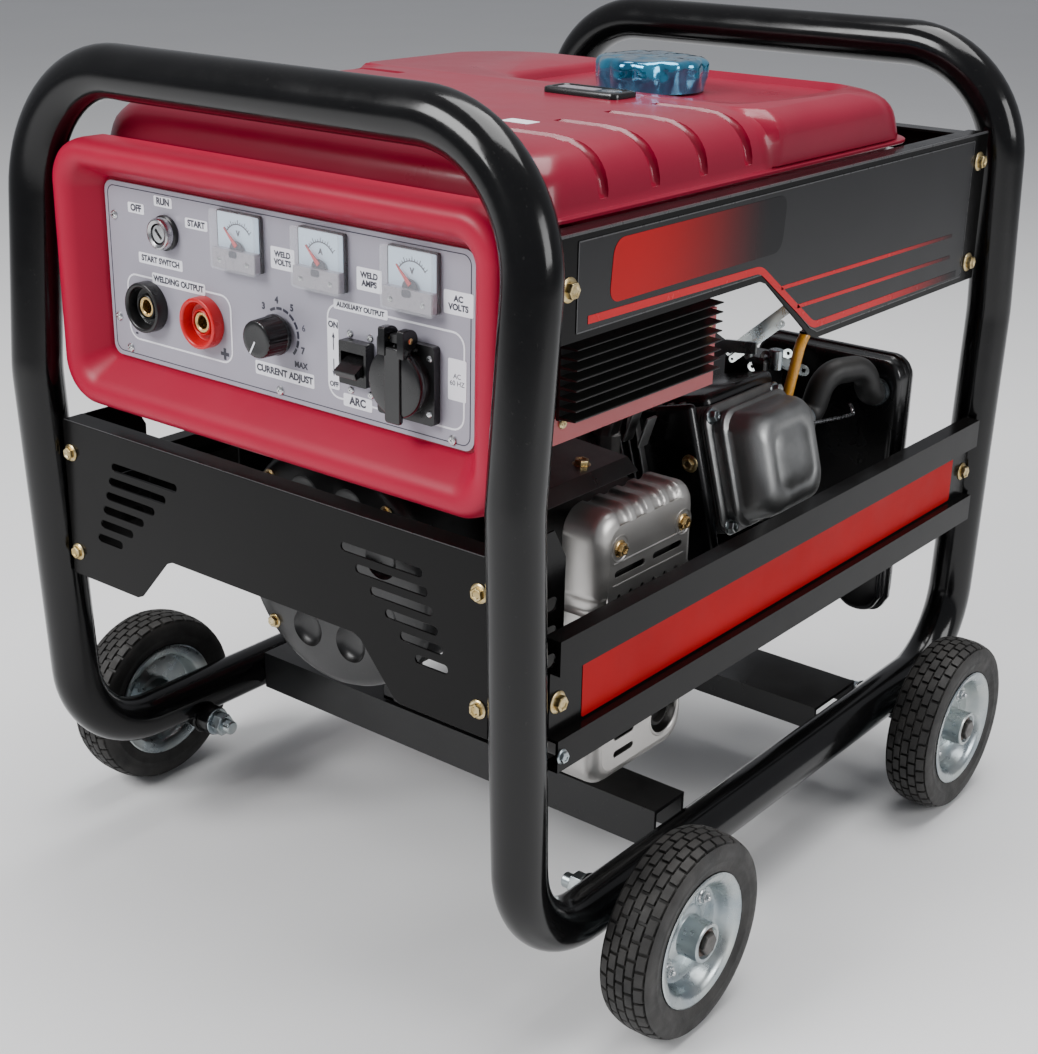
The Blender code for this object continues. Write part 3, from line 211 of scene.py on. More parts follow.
def faded(name, strong, weak, start, end, rough):
    """A print that fades along Y from one colour to another."""
    mat = surface(name, strong, rough, vary=0.04, patch=40, rough_vary=0.03, bump=0.004, specular=0.14)
    tree = mat.node_tree
    shader = tree.nodes["Principled BSDF"]
    split = tree.nodes.new("ShaderNodeSeparateXYZ")
    link(tree, tree.nodes.new("ShaderNodeTexCoord").outputs["Object"], split.inputs["Vector"])
    ramp = tree.nodes.new("ShaderNodeMapRange")
    ramp.interpolation_type = "SMOOTHSTEP"
    ramp.inputs["From Min"].default_value = start
    ramp.inputs["From Max"].default_value = end
    link(tree, split.outputs["Y"], ramp.inputs["Value"])
    link(tree, mix(tree, ramp.outputs["Result"], strong, weak), shader.inputs["Base Color"])
    return mat


DECAL_RGB = (0.0105, 0.0105, 0.0115)
DECAL = surface("side_decal", DECAL_RGB, 0.2, patch=7, vary=0.12, rough_vary=0.07, bump=0.012, grain=300,
    coat=0.14, coat_rough=0.07, specular=0.2)
BADGE = faded("badge_fade", (0.36, 0.004, 0.006), DECAL_RGB, -0.23, -0.05, 0.22)
STRIPE_FADE = faded("stripe_fade", (0.46, 0.016, 0.02), DECAL_RGB, 0.1, 0.26, 0.25)


# shapes


def at(x, y, z):
    return Matrix.Translation((x, y, z))


def circle(radius, height, steps):
    turns = [2 * pi * i / steps for i in range(steps)]
    return [(radius * cos(t), radius * sin(t), height) for t in turns]


def rounded(x0, x1, y0, y1, radius, steps=6):
    corners = ((x1 - radius, y1 - radius, 0), (x0 + radius, y1 - radius, 1), (x0 + radius, y0 + radius, 2),
        (x1 - radius, y0 + radius, 3))
    points = []
    for cx, cy, quarter in corners:
        for i in range(steps + 1):
            t = (quarter + i / steps) * pi / 2
            points.append((cx + radius * cos(t), cy + radius * sin(t)))
    return points


def flat(points, height):
    return [(p[0], p[1], height) for p in points]


def disc(x, y, radius, steps=24):
    return [(x + px, y + py) for px, py, _ in circle(radius, 0, steps)]


def slot(x0, x1, y, half, steps=8):
    points = []
    for centre, first in ((x1 - half, -0.5), (x0 + half, 0.5)):
        for i in range(steps + 1):
            t = (first + i / steps) * pi
            points.append((centre + half * cos(t), y + half * sin(t)))
    return points


def bend_path(points, steps=10):
    """Rounds the corners of a path. Each point is (position, bend radius)."""
    path = [Vector(points[0][0])]
    for (before, _), (corner, radius), (after, _) in zip(points, points[1:], points[2:]):
        corner, into, out = Vector(corner), Vector(before), Vector(after)
        a, b = (into - corner).normalized(), (out - corner).normalized()
        half = a.angle(b) / 2
        reach = radius / tan(half)
        centre = corner + (a + b).normalized() * (radius / sin(half))
        start, end = corner + a * reach - centre, corner + b * reach - centre
        turn = start.angle(end)
        count = max(3, round(steps * turn / (pi / 2)))
        for i in range(count + 1):
            t = i / count
            spoke = start * sin((1 - t) * turn) + end * sin(t * turn)
            path.append(centre + spoke / sin(turn))
    path.append(Vector(points[-1][0]))
    return path


def smooth_path(points, steps=8):
    """A Catmull-Rom curve through the points."""
    pts = [Vector(p) for p in points]
    pts = [pts[0] * 2 - pts[1], *pts, pts[-1] * 2 - pts[-2]]
    path = []
    for a, b, c, d in zip(pts, pts[1:], pts[2:], pts[3:]):
        for i in range(steps):
            t = i / steps
            square = (2 * a - 5 * b + 4 * c - d) * t ** 2
            cube = (3 * b - a - 3 * c + d) * t ** 3
            path.append(0.5 * ((2 * b) + (c - a) * t + square + cube))
    path.append(pts[-2])
    return path


def inside(x, y, loops):
    crossed = False
    for loop in loops:
        for (ax, ay), (bx, by) in zip(loop, loop[1:] + loop[:1]):
            if (ay > y) != (by > y) and x < (bx - ax) * (y - ay) / (by - ay) + ax:
                crossed = not crossed
    return crossed


class Shape:
    """One mesh in the making. Each call adds a closed body to it."""

    def __init__(self):
        self.bm = bmesh.new()

    def loft(self, rings, closed=False, matrix=None):
        matrix = matrix if matrix is not None else Matrix()
        rows = [[self.bm.verts.new(matrix @ Vector(p)) for p in ring] for ring in rings]
        count = len(rows[0])
        pairs = list(zip(rows, rows[1:]))
        if closed:
            pairs.append((rows[-1], rows[0]))
        for low, high in pairs:
            for i in range(count):
                j = (i + 1) % count
                self.bm.faces.new((low[i], low[j], high[j], high[i]))
        if not closed:
            self.bm.faces.new(rows[0][::-1])
            self.bm.faces.new(rows[-1])
        return self

    def lathe(self, profile, steps=64, matrix=None, closed=False):
        return self.loft([circle(max(r, 0.01), h, steps) for r, h in profile], closed, matrix)

    def prism(self, points, low, high, matrix=None, bevel=0.0):
        if not bevel:
            return self.loft([flat(points, low), flat(points, high)], False, matrix)
        cx = sum(p[0] for p in points) / len(points)
        cy = sum(p[1] for p in points) / len(points)
        reach = max(max(abs(p[0] - cx), abs(p[1] - cy)) for p in points)
        share = 1 - bevel / reach
        small = [(cx + (x - cx) * share, cy + (y - cy) * share) for x, y in points]
        return self.loft([flat(small, low), flat(points, low + bevel), flat(points, high - bevel),
            flat(small, high)], False, matrix)

    def box(self, low, high, bevel=0.0, matrix=None):
        before = set(self.bm.faces)
        x0, y0, z0 = low
        x1, y1, z1 = high
        self.loft([flat([(x0, y0), (x1, y0), (x1, y1), (x0, y1)], h) for h in (z0, z1)], False, matrix)
        if bevel:
            edges = {e for f in self.bm.faces if f not in before for e in f.edges}
            bmesh.ops.bevel(self.bm, geom=list(edges), offset=bevel, segments=3, profile=0.5,
                affect="EDGES")
        return self

    def plate(self, outline, holes, low, high, matrix=None):
        """A flat plate with holes."""
        loops = [list(outline), *[list(hole) for hole in holes]]
        points, edges = [], []
        for loop in loops:
            first, count = len(points), len(loop)
            points += [Vector(p) for p in loop]
            edges += [(first + i, first + (i + 1) % count) for i in range(count)]
        spots, _, triangles, *_ = delaunay_2d_cdt(points, edges, [], 0, 1e-4)
        matrix = matrix if matrix is not None else Matrix()
        bottom = [self.bm.verts.new(matrix @ Vector((p.x, p.y, low))) for p in spots]
        top = [self.bm.verts.new(matrix @ Vector((p.x, p.y, high))) for p in spots]
        for a, b, c in triangles:
            middle = (spots[a] + spots[b] + spots[c]) / 3
            if inside(middle.x, middle.y, loops):
                self.bm.faces.new((bottom[c], bottom[b], bottom[a]))
                self.bm.faces.new((top[a], top[b], top[c]))
        for a, b in edges:
            self.bm.faces.new((bottom[a], bottom[b], top[b], top[a]))
        return self

    def pipe(self, path, radius, steps=24, closed=False):
        count = len(path)
        side = None
        rings = []
        for i, point in enumerate(path):
            if closed:
                tangent = (path[(i + 1) % count] - path[i - 1]).normalized()
            else:
                tangent = (path[min(i + 1, count - 1)] - path[max(i - 1, 0)]).normalized()
            if side is None:
                side = tangent.orthogonal().normalized()
            side = (side - tangent * side.dot(tangent)).normalized()
            other = tangent.cross(side)
            turns = [2 * pi * k / steps for k in range(steps)]
            rings.append([point + radius * (side * cos(t) + other * sin(t)) for t in turns])
        return self.loft(rings, closed)

    def hex_bolt(self, matrix, size=5.6, height=4, flange=7.8):
        """Flanged hexagon head with a dished top, standing on local Z."""
        self.lathe([(flange, 0.0), (flange, 0.7), (flange * 0.86, 1.4), (size * 0.8, 1.6)], 32, matrix)
        top = 1.2 + height
        self.loft([circle(size, 1, 6), circle(size, top - 0.7, 6), circle(size * 0.9, top, 6),
            circle(size * 0.62, top, 6), circle(size * 0.5, top - 0.7, 6)], False, matrix)
        return self

    def pan_screw(self, matrix, radius=3.6, height=2):
        """Pan head with a cross recess."""
        arm, end = radius * 0.16, radius * 0.62
        self.lathe([(radius, 0.0), (radius, height * 0.35), (radius * 0.82, height * 0.8),
            (radius * 0.45, height)], 24, matrix)
        for a, b in ((arm, end), (end, arm)):
            self.box((-a, -b, height * 0.9), (a, b, height * 1.12), 0.0, matrix)
        return self

    def piece(self, name, mat, body="frame", stands_for=(), smooth=35, bevel=0.0, weld=True):
        if weld:
            bmesh.ops.remove_doubles(self.bm, verts=self.bm.verts, dist=0.002)
        self.bm.transform(Matrix.Scale(MM, 4))
        bmesh.ops.recalc_face_normals(self.bm, faces=self.bm.faces)
        mesh = bpy.data.meshes.new(name)
        self.bm.to_mesh(mesh)
        self.bm.free()
        mesh.materials.append(mat)
        mesh.shade_smooth()
        mesh.set_sharp_from_angle(angle=radians(smooth))
        obj = bpy.data.objects.new(name, mesh)
        bpy.context.scene.collection.objects.link(obj)
        if bevel:
            soften(obj, bevel)
        if body:
            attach(obj, body)
        if stands_for:
            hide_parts(*stands_for)
        return obj


def soften(obj, width, segments=2):
    """Rounds the sharp edges, so that they catch the light."""
    modifier = obj.modifiers.new("edges", "BEVEL")
    modifier.width = width * MM
    modifier.segments = segments
    modifier.limit_method = "ANGLE"
    modifier.angle_limit = radians(32)
    modifier.harden_normals = True
    modifier.use_clamp_overlap = True


def carry(node, mat, bevel=0.0):
    """A CAD node that stays, with its finish."""
    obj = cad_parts[node]
    obj.data.materials.clear()
    obj.data.materials.append(mat)
    if bevel:
        soften(obj, bevel)
    return obj


# frame

TUBE_R, POST_X, KNEE_Y, KNEE_Z = 19, 231.8, 333.2, 419
TOP_Y, TOP_Z, TOP_BEND = 314.2, 643, 92
RAIL_Z, RAIL_Y, RAIL_BEND = 92, 318, 75
WHEEL_R, WHEEL_X, WHEEL_Y = 76.2, 285, (-201.4, 217.6)


def hoops():
    for name, side in (("front", -1), ("rear", 1)):
        corners = []
        for x in (-POST_X, POST_X):
            half = [((x, 0, RAIL_Z), 0), ((x, side * RAIL_Y, RAIL_Z), RAIL_BEND),
                ((x, side * KNEE_Y, KNEE_Z), 120), ((x, side * TOP_Y, TOP_Z), TOP_BEND)]
            corners += half if x < 0 else half[::-1]
        shape = Shape().pipe(bend_path(corners, 18), TUBE_R, 40)
        y = WHEEL_Y[0] if side < 0 else WHEEL_Y[1]
        for x in (-1, 1):
            low, high = sorted((x * 200.5, x * 257.5))
            profile = [(6.6, low), (11.5, low), (12.5, low + 1), (12.5, high - 1), (11.5, high),
                (6.6, high)]
            shape.lathe(profile, 40, at(0, y, WHEEL_R) @ ALONG_X, closed=True)
        shape.piece(f"{name}_hoop", TUBE, stands_for=(f"frame_{name}_hoop",), smooth=40)
        weld = Shape()
        for x in (-1, 1):
            turns = [2 * pi * i / 48 for i in range(48)]
            ring = [(13 * cos(t), 13 * sin(t), 0.5 * sin(9 * t)) for t in turns]
            for face in (-1, 1):
                start = x * POST_X + face * 16
                loops = []
                for k in range(8):
                    a = 2 * pi * k / 8
                    loops.append([(p[0] * (1 + 0.11 * cos(a)), p[1] * (1 + 0.11 * cos(a)),
                        start + p[2] + 1.6 * sin(a)) for p in ring])
                weld.loft(loops, True, at(0, y, WHEEL_R) @ ALONG_X)
        weld.piece(f"{name}_sleeve_welds", TUBE, smooth=60)
    for node in ("crossmember_front", "crossmember_rear"):
        carry(node, SHEET, 0.8)


# wheels

TREAD_PITCH, TREAD_BLOCKS = 10.0, 36
RIBS = ((-17.2, -11.2, 0), (-10, -4.2, 1), (-3, 3, 0), (4.2, 10, 1), (11.2, 17.2, 0))


def crown(h):
    """Radius of the tread's envelope across the tyre."""
    a = abs(h)
    if a < 5.5:
        return WHEEL_R
    return WHEEL_R - 2.9 * ((a - 5.5) / 11.7) ** 1.6


def tyre_shape(place):
    """Block tread in five staggered ribs, on a rounded casing with shoulder lugs."""
    depth = 2.4
    across = [(-17.8, None)]
    for low, high, phase in RIBS:
        across += [(low - 0.2, None), (low + 0.2, phase), (low + 1.2, phase), (high - 1.2, phase),
            (high - 0.2, phase), (high + 0.2, None)]
    across.append((17.8, None))
    steps = (0.0, 0.25, 1.75, 2.0, 5.0, 5.25, 6.75, 7.0)
    angles = [block * TREAD_PITCH + a for block in range(TREAD_BLOCKS) for a in steps]
    wall = [(72.2, 18.6), (70, 19.7), (66.8, 20.2), (64, 20.3), (61, 19.9), (60, 20.2), (59, 19.8),
        (56, 19), (53.5, 18.1), (52, 18.2), (50.8, 17.4), (48, 13)]
    rings = [[] for _ in range(len(across) + 2 * len(wall))]
    for angle in angles:
        t = radians(angle)
        local = angle % TREAD_PITCH
        row = [(r, -h) for r, h in reversed(wall)]
        for h, phase in across:
            low = phase is None or 5 * phase + 0.2 < local < 5 * phase + 1.8
            row.append((crown(h) - (depth if low else 0), h))
        row += wall
        for index, (r, h) in enumerate(row):
            rings[index].append((r * cos(t), r * sin(t), h))
    return Shape().loft(rings, True, place)


RIM_PROFILE = ((6.3, -25.5), (13.8, -25.5), (15, -24.5), (15, -4), (17, -2.6), (36, -2.8), (38.5, -6),
    (40, -14), (43, -17.2), (49.5, -19.2), (50.8, -18.6), (50.5, -17.5), (47, -16), (44.5, -12), (43.5, -6),
    (43.5, 6), (44.5, 12), (47, 16), (50.5, 17.5), (50.8, 18.6), (49.5, 19.3), (45.8, 18.6), (43, 17),
    (40.5, 13), (39.2, 7), (37.2, 3.8), (34.5, 2.8), (22, 3), (20, 4.4), (17.2, 4.8), (15.5, 6), (15, 8),
    (15, 21.8), (14.2, 22.5), (12, 22.5), (11.6, 21.5), (6.3, 15))


def wheels():
    for corner, side, y in (("fl", -1, WHEEL_Y[0]), ("fr", 1, WHEEL_Y[0]), ("rl", -1, WHEEL_Y[1]),
            ("rr", 1, WHEEL_Y[1])):
        place = at(side * WHEEL_X, y, WHEEL_R) @ ALONG_X
        if side < 0:
            place = place @ Matrix.Rotation(pi, 4, "X")
        body = f"wheel_{corner}"
        tyre_shape(place).piece(f"tyre_{corner}_fine", TYRE, body, (f"tyre_{corner}",), smooth=50)
        rim = Shape().lathe(RIM_PROFILE, 72, place, closed=True)
        for k in range(4):
            spot = place @ Matrix.Rotation(pi / 4 + k * pi / 2, 4, "Z") @ at(29.2, 0, 2.6)
            rim.lathe([(8.8, -1), (8.8, 0.6), (7.8, 1.2), (7, 0.6), (0.0, 0.5)], 32, spot)
        rim.piece(f"rim_{corner}_fine", ZINC, body, (f"rim_{corner}",), smooth=34)
        bolts = Shape()
        for k in range(4):
            spot = place @ Matrix.Rotation(pi / 4 + k * pi / 2, 4, "Z") @ at(29.2, 0, 3)
            bolts.hex_bolt(spot, 4.6, 3, 5.8)
            bolts.lathe([(2.2, 0.0), (2.2, 6.2), (1.6, 6.8)], 20, spot)
        bolts.piece(f"rim_bolts_{corner}", STEEL, body, smooth=30, bevel=0.2)
        bush = Shape().lathe([(6.4, 15), (11.5, 15), (11.5, 20), (10, 20.6), (6.4, 20.6)], 40, place,
            closed=True)
        bush.piece(f"hub_bush_{corner}", GREASE, body, smooth=40)
        bolt = Shape().lathe([(5, -104), (6, -103), (6, 20)], 32, place)
        bolt.lathe([(6.1, -85.5), (11.8, -85.5), (11.8, -83.8), (6.1, -83.8)], 40, place, closed=True)
        ends = Shape()
        for shape, low, high, size in ((bolt, -95.5, -85.5, 10), (ends, 20.8, 25, 8.8)):
            shape.loft([circle(size * 0.93, low, 6), circle(size, low + 0.7, 6),
                circle(size, high - 0.8, 6), circle(size * 0.9, high, 6)], False, place)
        bolt.piece(f"axle_{corner}", ZINC, "frame", (f"axle_bolt_{corner}",), smooth=30, bevel=0.3)
        ends.piece(f"axle_head_{corner}", DARK_STEEL, smooth=30, bevel=0.3)


# body panels

BOLT_OUT = (((-282.6, 546), 229), ((282.6, 555.5), 229), ((282.6, 470.5), 229), ((-296.5, 280.5), 240),
    ((296.5, 280.5), 240))


def outward(side, y, z, x):
    """Local Z points out of the side at that place, local X to the rear and local Y up."""
    turn = ALONG_X if side > 0 else Matrix.Rotation(pi, 4, "Z") @ ALONG_X
    return at(side * x, y, z) @ turn


def front_panel():
    x1, top, low, high = 210.5, 382.5, 256.5, 296.5
    edge, lip = x1 - 0.3, top - 0.3
    outline = [(-edge, low), (-134, low), (-128.5, 259), (-98.5, 293.5), (-92, high), (92, high),
        (98.5, 293.5), (128.5, 259), (134, low), (edge, low), (edge, lip), (-edge, lip)]
    holes = []
    for row in range(6):
        inner, outer, z = 82 + 13.2 * row, 154.5 + 4.4 * row, 357 - 12.4 * row
        holes += [slot(inner, outer, z, 3.1), slot(-outer, -inner, z, 3.1)]
    shape = Shape().plate(outline, holes, 0, 1.6, at(0, -329, 0) @ FACING_FRONT)
    shape.box((0.8 - x1, -330, top - 1.6), (x1 - 0.8, -312, top))
    for side in (-1, 1):
        slots = [slot(-283, -260, z, 5) for z in (330, 309.4, 288.8)]
        wing = [(-329.8, low + 0.4), (-252, low + 0.4), (-252, 360), (-265, top - 0.5), (-329.8, top - 0.5)]
        low_x, high_x = sorted((side * x1, side * (x1 - 1.6)))
        shape.plate(wing, slots, low_x, high_x, ALONG_X)
    shape.piece("front_panel_fine", CHARCOAL, "frame", ("front_panel",), smooth=30, bevel=0.4)
    # Painted highlight: a lighter grey strip along the front panel's top edge, where the edge catches the
    # light.
    edge = Shape().box((-x1 + 2, -330.3, top - 0.4), (x1 - 2, -329.6, top + 0.1))
    edge.piece("front_edge_highlight", EDGE_HIGHLIGHT_AND_BORDER)


def fasteners():
    yellow, silver = Shape(), Shape()
    for side in (-1, 1):
        for (y, z), x in BOLT_OUT:
            yellow.hex_bolt(outward(side, y, z, x), 5.6, 4.2, 8)
        silver.hex_bolt(outward(side, -300.5, 245.5, 247.8), 4.2, 2.6, 5.2)
    for x in (-202.3, 202.3):
        for z in (357, 276):
            yellow.hex_bolt(at(x, -330.6, z) @ FACING_FRONT @ Matrix.Rotation(0.3 + z * MM, 4, "Z"), 5, 3,
                6.8)
    yellow.hex_bolt(at(148, -153, 382.2) @ Matrix.Rotation(0.07, 4, "Y"), 5.6, 4, 7.8)
    yellow.piece("yellow_bolts", YELLOW_ZINC, smooth=30, bevel=0.25)
    silver.piece("silver_bolts", ZINC, smooth=30, bevel=0.2)


def side_sheets():
    for name, side in (("right", 1), ("left", -1)):
        carry(f"side_panel_{name}", CHARCOAL, 0.5)
        carry(f"side_rail_{name}", CHARCOAL, 0.6)
        band = rounded(-270, 275, 259, 301.5, 2)
        face = outward(side, 0, 0, 240)
        turn = 1 if side > 0 else -1
        Shape().prism([(turn * p[0], p[1]) for p in band], 0.1, 0.4, face).piece(f"red_band_{name}",
            RED_BAND)
        # Painted highlight: a lighter grey strip along the side panel's top rim, where the rim catches the
        # light.
        edge = Shape().box((-294, 577.6, -1.2), (294, 579.3, 0.3), 0.0, outward(side, 0, 0, 229))
        edge.piece(f"flange_edge_highlight_{name}", EDGE_HIGHLIGHT_AND_BORDER)
        decal(name, side)


def ribbon(path, width):
    """The two edges of a flat band along a 2D path."""
    left, right = [], []
    for i, point in enumerate(path):
        a = Vector(path[max(i - 1, 0)])
        b = Vector(path[min(i + 1, len(path) - 1)])
        along = (b - a).normalized()
        across = Vector((-along.y, along.x)) * width / 2
        left.append(tuple(Vector(point) + across))
        right.append(tuple(Vector(point) - across))
    return left, right


def strip(shape, path, width, low, high, matrix, flip):
    """A band built of short quads, so that bends stay clean."""
    left, right = ribbon(path, width)
    for i in range(len(path) - 1):
        quad = [left[i], right[i], right[i + 1], left[i + 1]]
        shape.prism([(flip * p[0], p[1]) for p in quad], low, high, matrix)


def decal(name, side):
    """Glossy sheet with a fading red badge and three red stripes that turn down to the rear."""
    face = outward(side, 0, 0, 229)
    flip = 1 if side > 0 else -1
    sheet = [(-274, 517.5), (-59, 517.5), (-49, 513.5), (16, 465), (27, 460), (270, 460), (270, 573.5),
        (-274, 573.5)]
    Shape().prism([(flip * p[0], p[1]) for p in sheet], 0.1, 0.4, face).piece(f"decal_{name}", DECAL)
    lines = Shape()
    loop = [Vector((*p, 0)) for p in sheet + sheet[:1]]
    for a, b in zip(loop, loop[1:]):
        strip(lines, [(a.x, a.y), (b.x, b.y)], 0.9, 0.4, 0.55, face, flip)
    lines.piece(f"decal_border_{name}", EDGE_HIGHLIGHT_AND_BORDER, smooth=20, weld=False)
    badge = rounded(-241.5, -35, 530, 570, 10)
    slant = [(p[0] + 0.1 * (p[1] - 530), p[1]) for p in badge]
    Shape().prism([(flip * p[0], p[1]) for p in slant], 0.4, 0.7, face).piece(f"badge_{name}", BADGE)
    red = Shape()
    main = bend_path([((-263, 524, 0), 0), ((-61, 521.5, 0), 22), ((20, 466.2, 0), 22),
        ((260, 464.5, 0), 0)], 16)
    strip(red, [(p.x, p.y) for p in main], 5.2, 0.4, 0.7, face, flip)
    for y, z in ((-31, 503), (-6, 485)):
        strip(red, [(y, z), (100, z - 2), (245, z - 4)], 2.8, 0.4, 0.7, face, flip)
    red.piece(f"stripes_{name}", STRIPE_FADE, smooth=20, weld=False)


# console

PLATE_Y = -304
METERS = (("weld_volt", -31.4, 540.5, "V"), ("weld_amp", 46.4, 540.2, "A"), ("aux_volt", 125.9, 540, "V"))
METER_W, METER_H = 22.2, 20.5
SOCKETS = (("weld_socket_black", -130.5, 478.5), ("weld_socket_red", -71.4, 477.5))
KEY, KNOB, BREAKER, OUTLET = (-108.5, 535), (3, 482.5), (77.5, 477), (122, 474.5)
LID_HINGE = (13, 29)
FACE = at(0, PLATE_Y, 0) @ FACING_FRONT


def on_plate(x, z):
    return at(x, PLATE_Y, z) @ FACING_FRONT


def console_housing():
    rings = []
    for x, z0, z1, r, y in ((210.8, 397.5, 595, 34, -297.5), (210.8, 397.5, 595, 34, -313),
            (210.5, 397.8, 594.7, 34, -316.5), (209.7, 398.6, 593.9, 33, -320),
            (208.3, 400.2, 592.5, 31, -322.8), (206.2, 402.4, 590.4, 29, -325),
            (203.6, 405, 588, 27, -326.2), (200.6, 408, 585.4, 25, -326.4), (197.6, 411, 582.4, 23, -326.2),
            (195, 413.6, 580, 21, -325.4), (192.6, 416, 578, 20, -324.2), (190, 418.5, 576, 18, -322.2),
            (188.5, 420.1, 575.1, 17, -320.5), (178, 431.8, 568.4, 10, -306.6),
            (176.8, 433.1, 567.5, 9, -304.6), (176, 434, 566.7, 9, -301.8), (166, 444, 557, 6, -301.8),
            (166, 444, 557, 6, -299.2), (179, 431, 569, 10, -299.2), (192.5, 416, 578.5, 18, -319),
            (203, 405.5, 587, 24, -321.5), (208, 400.3, 592.2, 31, -314), (208, 400.3, 592.2, 31, -297.5)):
        rings.append([(px, y, pz) for px, pz in rounded(-x, x, z0, z1, r, 14)])
    housing = Shape().loft(rings, True)
    housing.piece("console_housing_fine", RED_PLASTIC, "frame", ("console_housing",), smooth=50)


def control_plate():
    holes = [disc(*KEY, 9.4), disc(*KNOB, 4.5), rounded(67.5, 87.5, 464.5, 489.5, 1)]
    holes += [disc(x, z, 13.4) for _, x, z in SOCKETS] + [disc(x, z, 17.1) for _, x, z, _ in METERS]
    holes.append(disc(*OUTLET, 20))
    shape = Shape().plate(rounded(-174.5, 174.5, 436, 564.6, 8, 10), holes, -1.8, 0, FACE)
    shape.piece("control_plate_fine", PLATE, "frame", ("control_plate",), smooth=30)


def frame_line(shape, x0, x1, z0, z1, radius, width, height=0.2):
    """A printed rounded frame."""
    outer = rounded(x0, x1, z0, z1, radius, 6)
    inner = rounded(x0 + width, x1 - width, z0 + width, z1 - width, max(radius - width, 0.2), 6)
    shape.plate(outer, [inner], 0.02, height, FACE)


def letters(shape, text, x, z, size, height=0.3, matrix=FACE):
    """Plain printed letters, centred on the place."""
    curve = bpy.data.curves.new("letters", "FONT")
    curve.body = text
    curve.size = size
    curve.align_x = "CENTER"
    curve.align_y = "CENTER"
    curve.offset = 0 if "6" in text else size * 0.045
    curve.extrude = 0.04
    obj = bpy.data.objects.new("letters", curve)
    bpy.context.scene.collection.objects.link(obj)
    bpy.context.view_layer.update()
    mesh = bpy.data.meshes.new_from_object(obj.evaluated_get(bpy.context.evaluated_depsgraph_get()))
    bpy.data.objects.remove(obj)
    mesh.transform(matrix @ at(x, z, height))
    shape.bm.from_mesh(mesh)
    bpy.data.meshes.remove(mesh)


def plate_print():
    white, dark = Shape(), Shape()
    frame_line(white, -155.5, -45, 450.6, 499.8, 10, 1.3)
    frame_line(white, 47.6, 166.8, 447.6, 512.1, 10, 1.3)
    inset = rounded(-171.5, 171.5, 439, 561.6, 7, 8)
    inner = rounded(-170.9, 170.9, 439.6, 561, 6.4, 8)
    dark.plate(inset, [inner], 0.02, 0.2, FACE)
    for x, z, w, h, text, size in ((-140.5, 547.8, 17.5, 7.4, "OFF", 6.6), (-111, 556, 19, 7.4, "RUN", 6.6),
            (-77, 545, 23, 7.2, "START", 6), (-117, 513, 47, 7.8, "START SWITCH", 5.8),
            (-99, 499.8, 56, 8.2, "WELDING OUTPUT", 6), (6, 454.5, 57, 9.8, "CURRENT ADJUST", 6.6),
            (7.5, 534, 22.5, 15, "WELD\nVOLTS", 5.4), (86.2, 532.5, 22, 15, "WELD\nAMPS", 5.4),
            (161.2, 530, 24, 15, "AC\nVOLTS", 5.4), (74.5, 448.5, 26, 8.8, "ARC", 7.4),
            (53.2, 477.5, 9.6, 48, "", 0.0), (160.5, 481, 15, 27, "AC\n60 HZ", 4.6),
            (78, 512.1, 48, 6.6, "AUXILIARY OUTPUT", 4.6)):
        white.prism(rounded(x - w / 2, x + w / 2, z - h / 2, z + h / 2, 1.2, 4), 0.02, 0.25, FACE)
        if text:
            letters(dark, text, x, z, size)
    letters(dark, "ON", 53.2, 497.5, 5.6)
    letters(dark, "OFF", 53.2, 457, 4.6)
    for sign in (-1, 1):
        tip = 477.5 + sign * 15
        arrow = [(51.8, tip - sign * 3.6), (54.6, tip - sign * 3.6), (53.2, tip)]
        dark.prism(arrow, 0.2, 0.35, FACE)
        dark.prism([(52.8, 477.5 + sign * 3), (53.6, 477.5 + sign * 3), (53.6, tip - sign * 3.6),
            (52.8, tip - sign * 3.6)], 0.2, 0.35, FACE)
    kx, kz = KNOB
    for k in range(8):
        first = 122 - 21.5 * k
        turns = [radians(first - 4.2 * i) for i in range(5)]
        outer = [(kx + 18.1 * cos(t), kz + 18.1 * sin(t)) for t in turns]
        inner = [(kx + 16.2 * cos(t), kz + 16.2 * sin(t)) for t in reversed(turns)]
        dark.prism(outer + inner, 0.02, 0.2, FACE)
    for text, angle, reach, size in (("3", 134, 22.6, 6.4), ("4", 97, 22.6, 6.4), ("5", 59, 22.6, 6.4),
            ("6", 18, 23.6, 6.4), ("7", -22, 22.8, 6.4), ("MAX", -45, 26.8, 5.6)):
        t = radians(angle)
        letters(dark, text, kx + reach * cos(t), kz + reach * sin(t), size, 0.1)
    letters(dark, "+", -53.5, 456.5, 15, 0.1)
    letters(dark, "-", -148, 456, 8.5, 0.1)
    white.piece("plate_labels", WHITE_PRINT, smooth=20)
    dark.piece("plate_print", DARK_PRINT_AND_HOLE_SHADE, smooth=20, weld=False)
    screws = Shape()
    for x, z in ((-165, 540), (-166.6, 464.8), (-155.5, 443), (1.4, 442), (157, 441)):
        screws.pan_screw(on_plate(x, z) @ Matrix.Rotation(x * 0.031, 4, "Z"), 3.4, 1.7)
    screws.piece("plate_screws", STEEL, smooth=30)


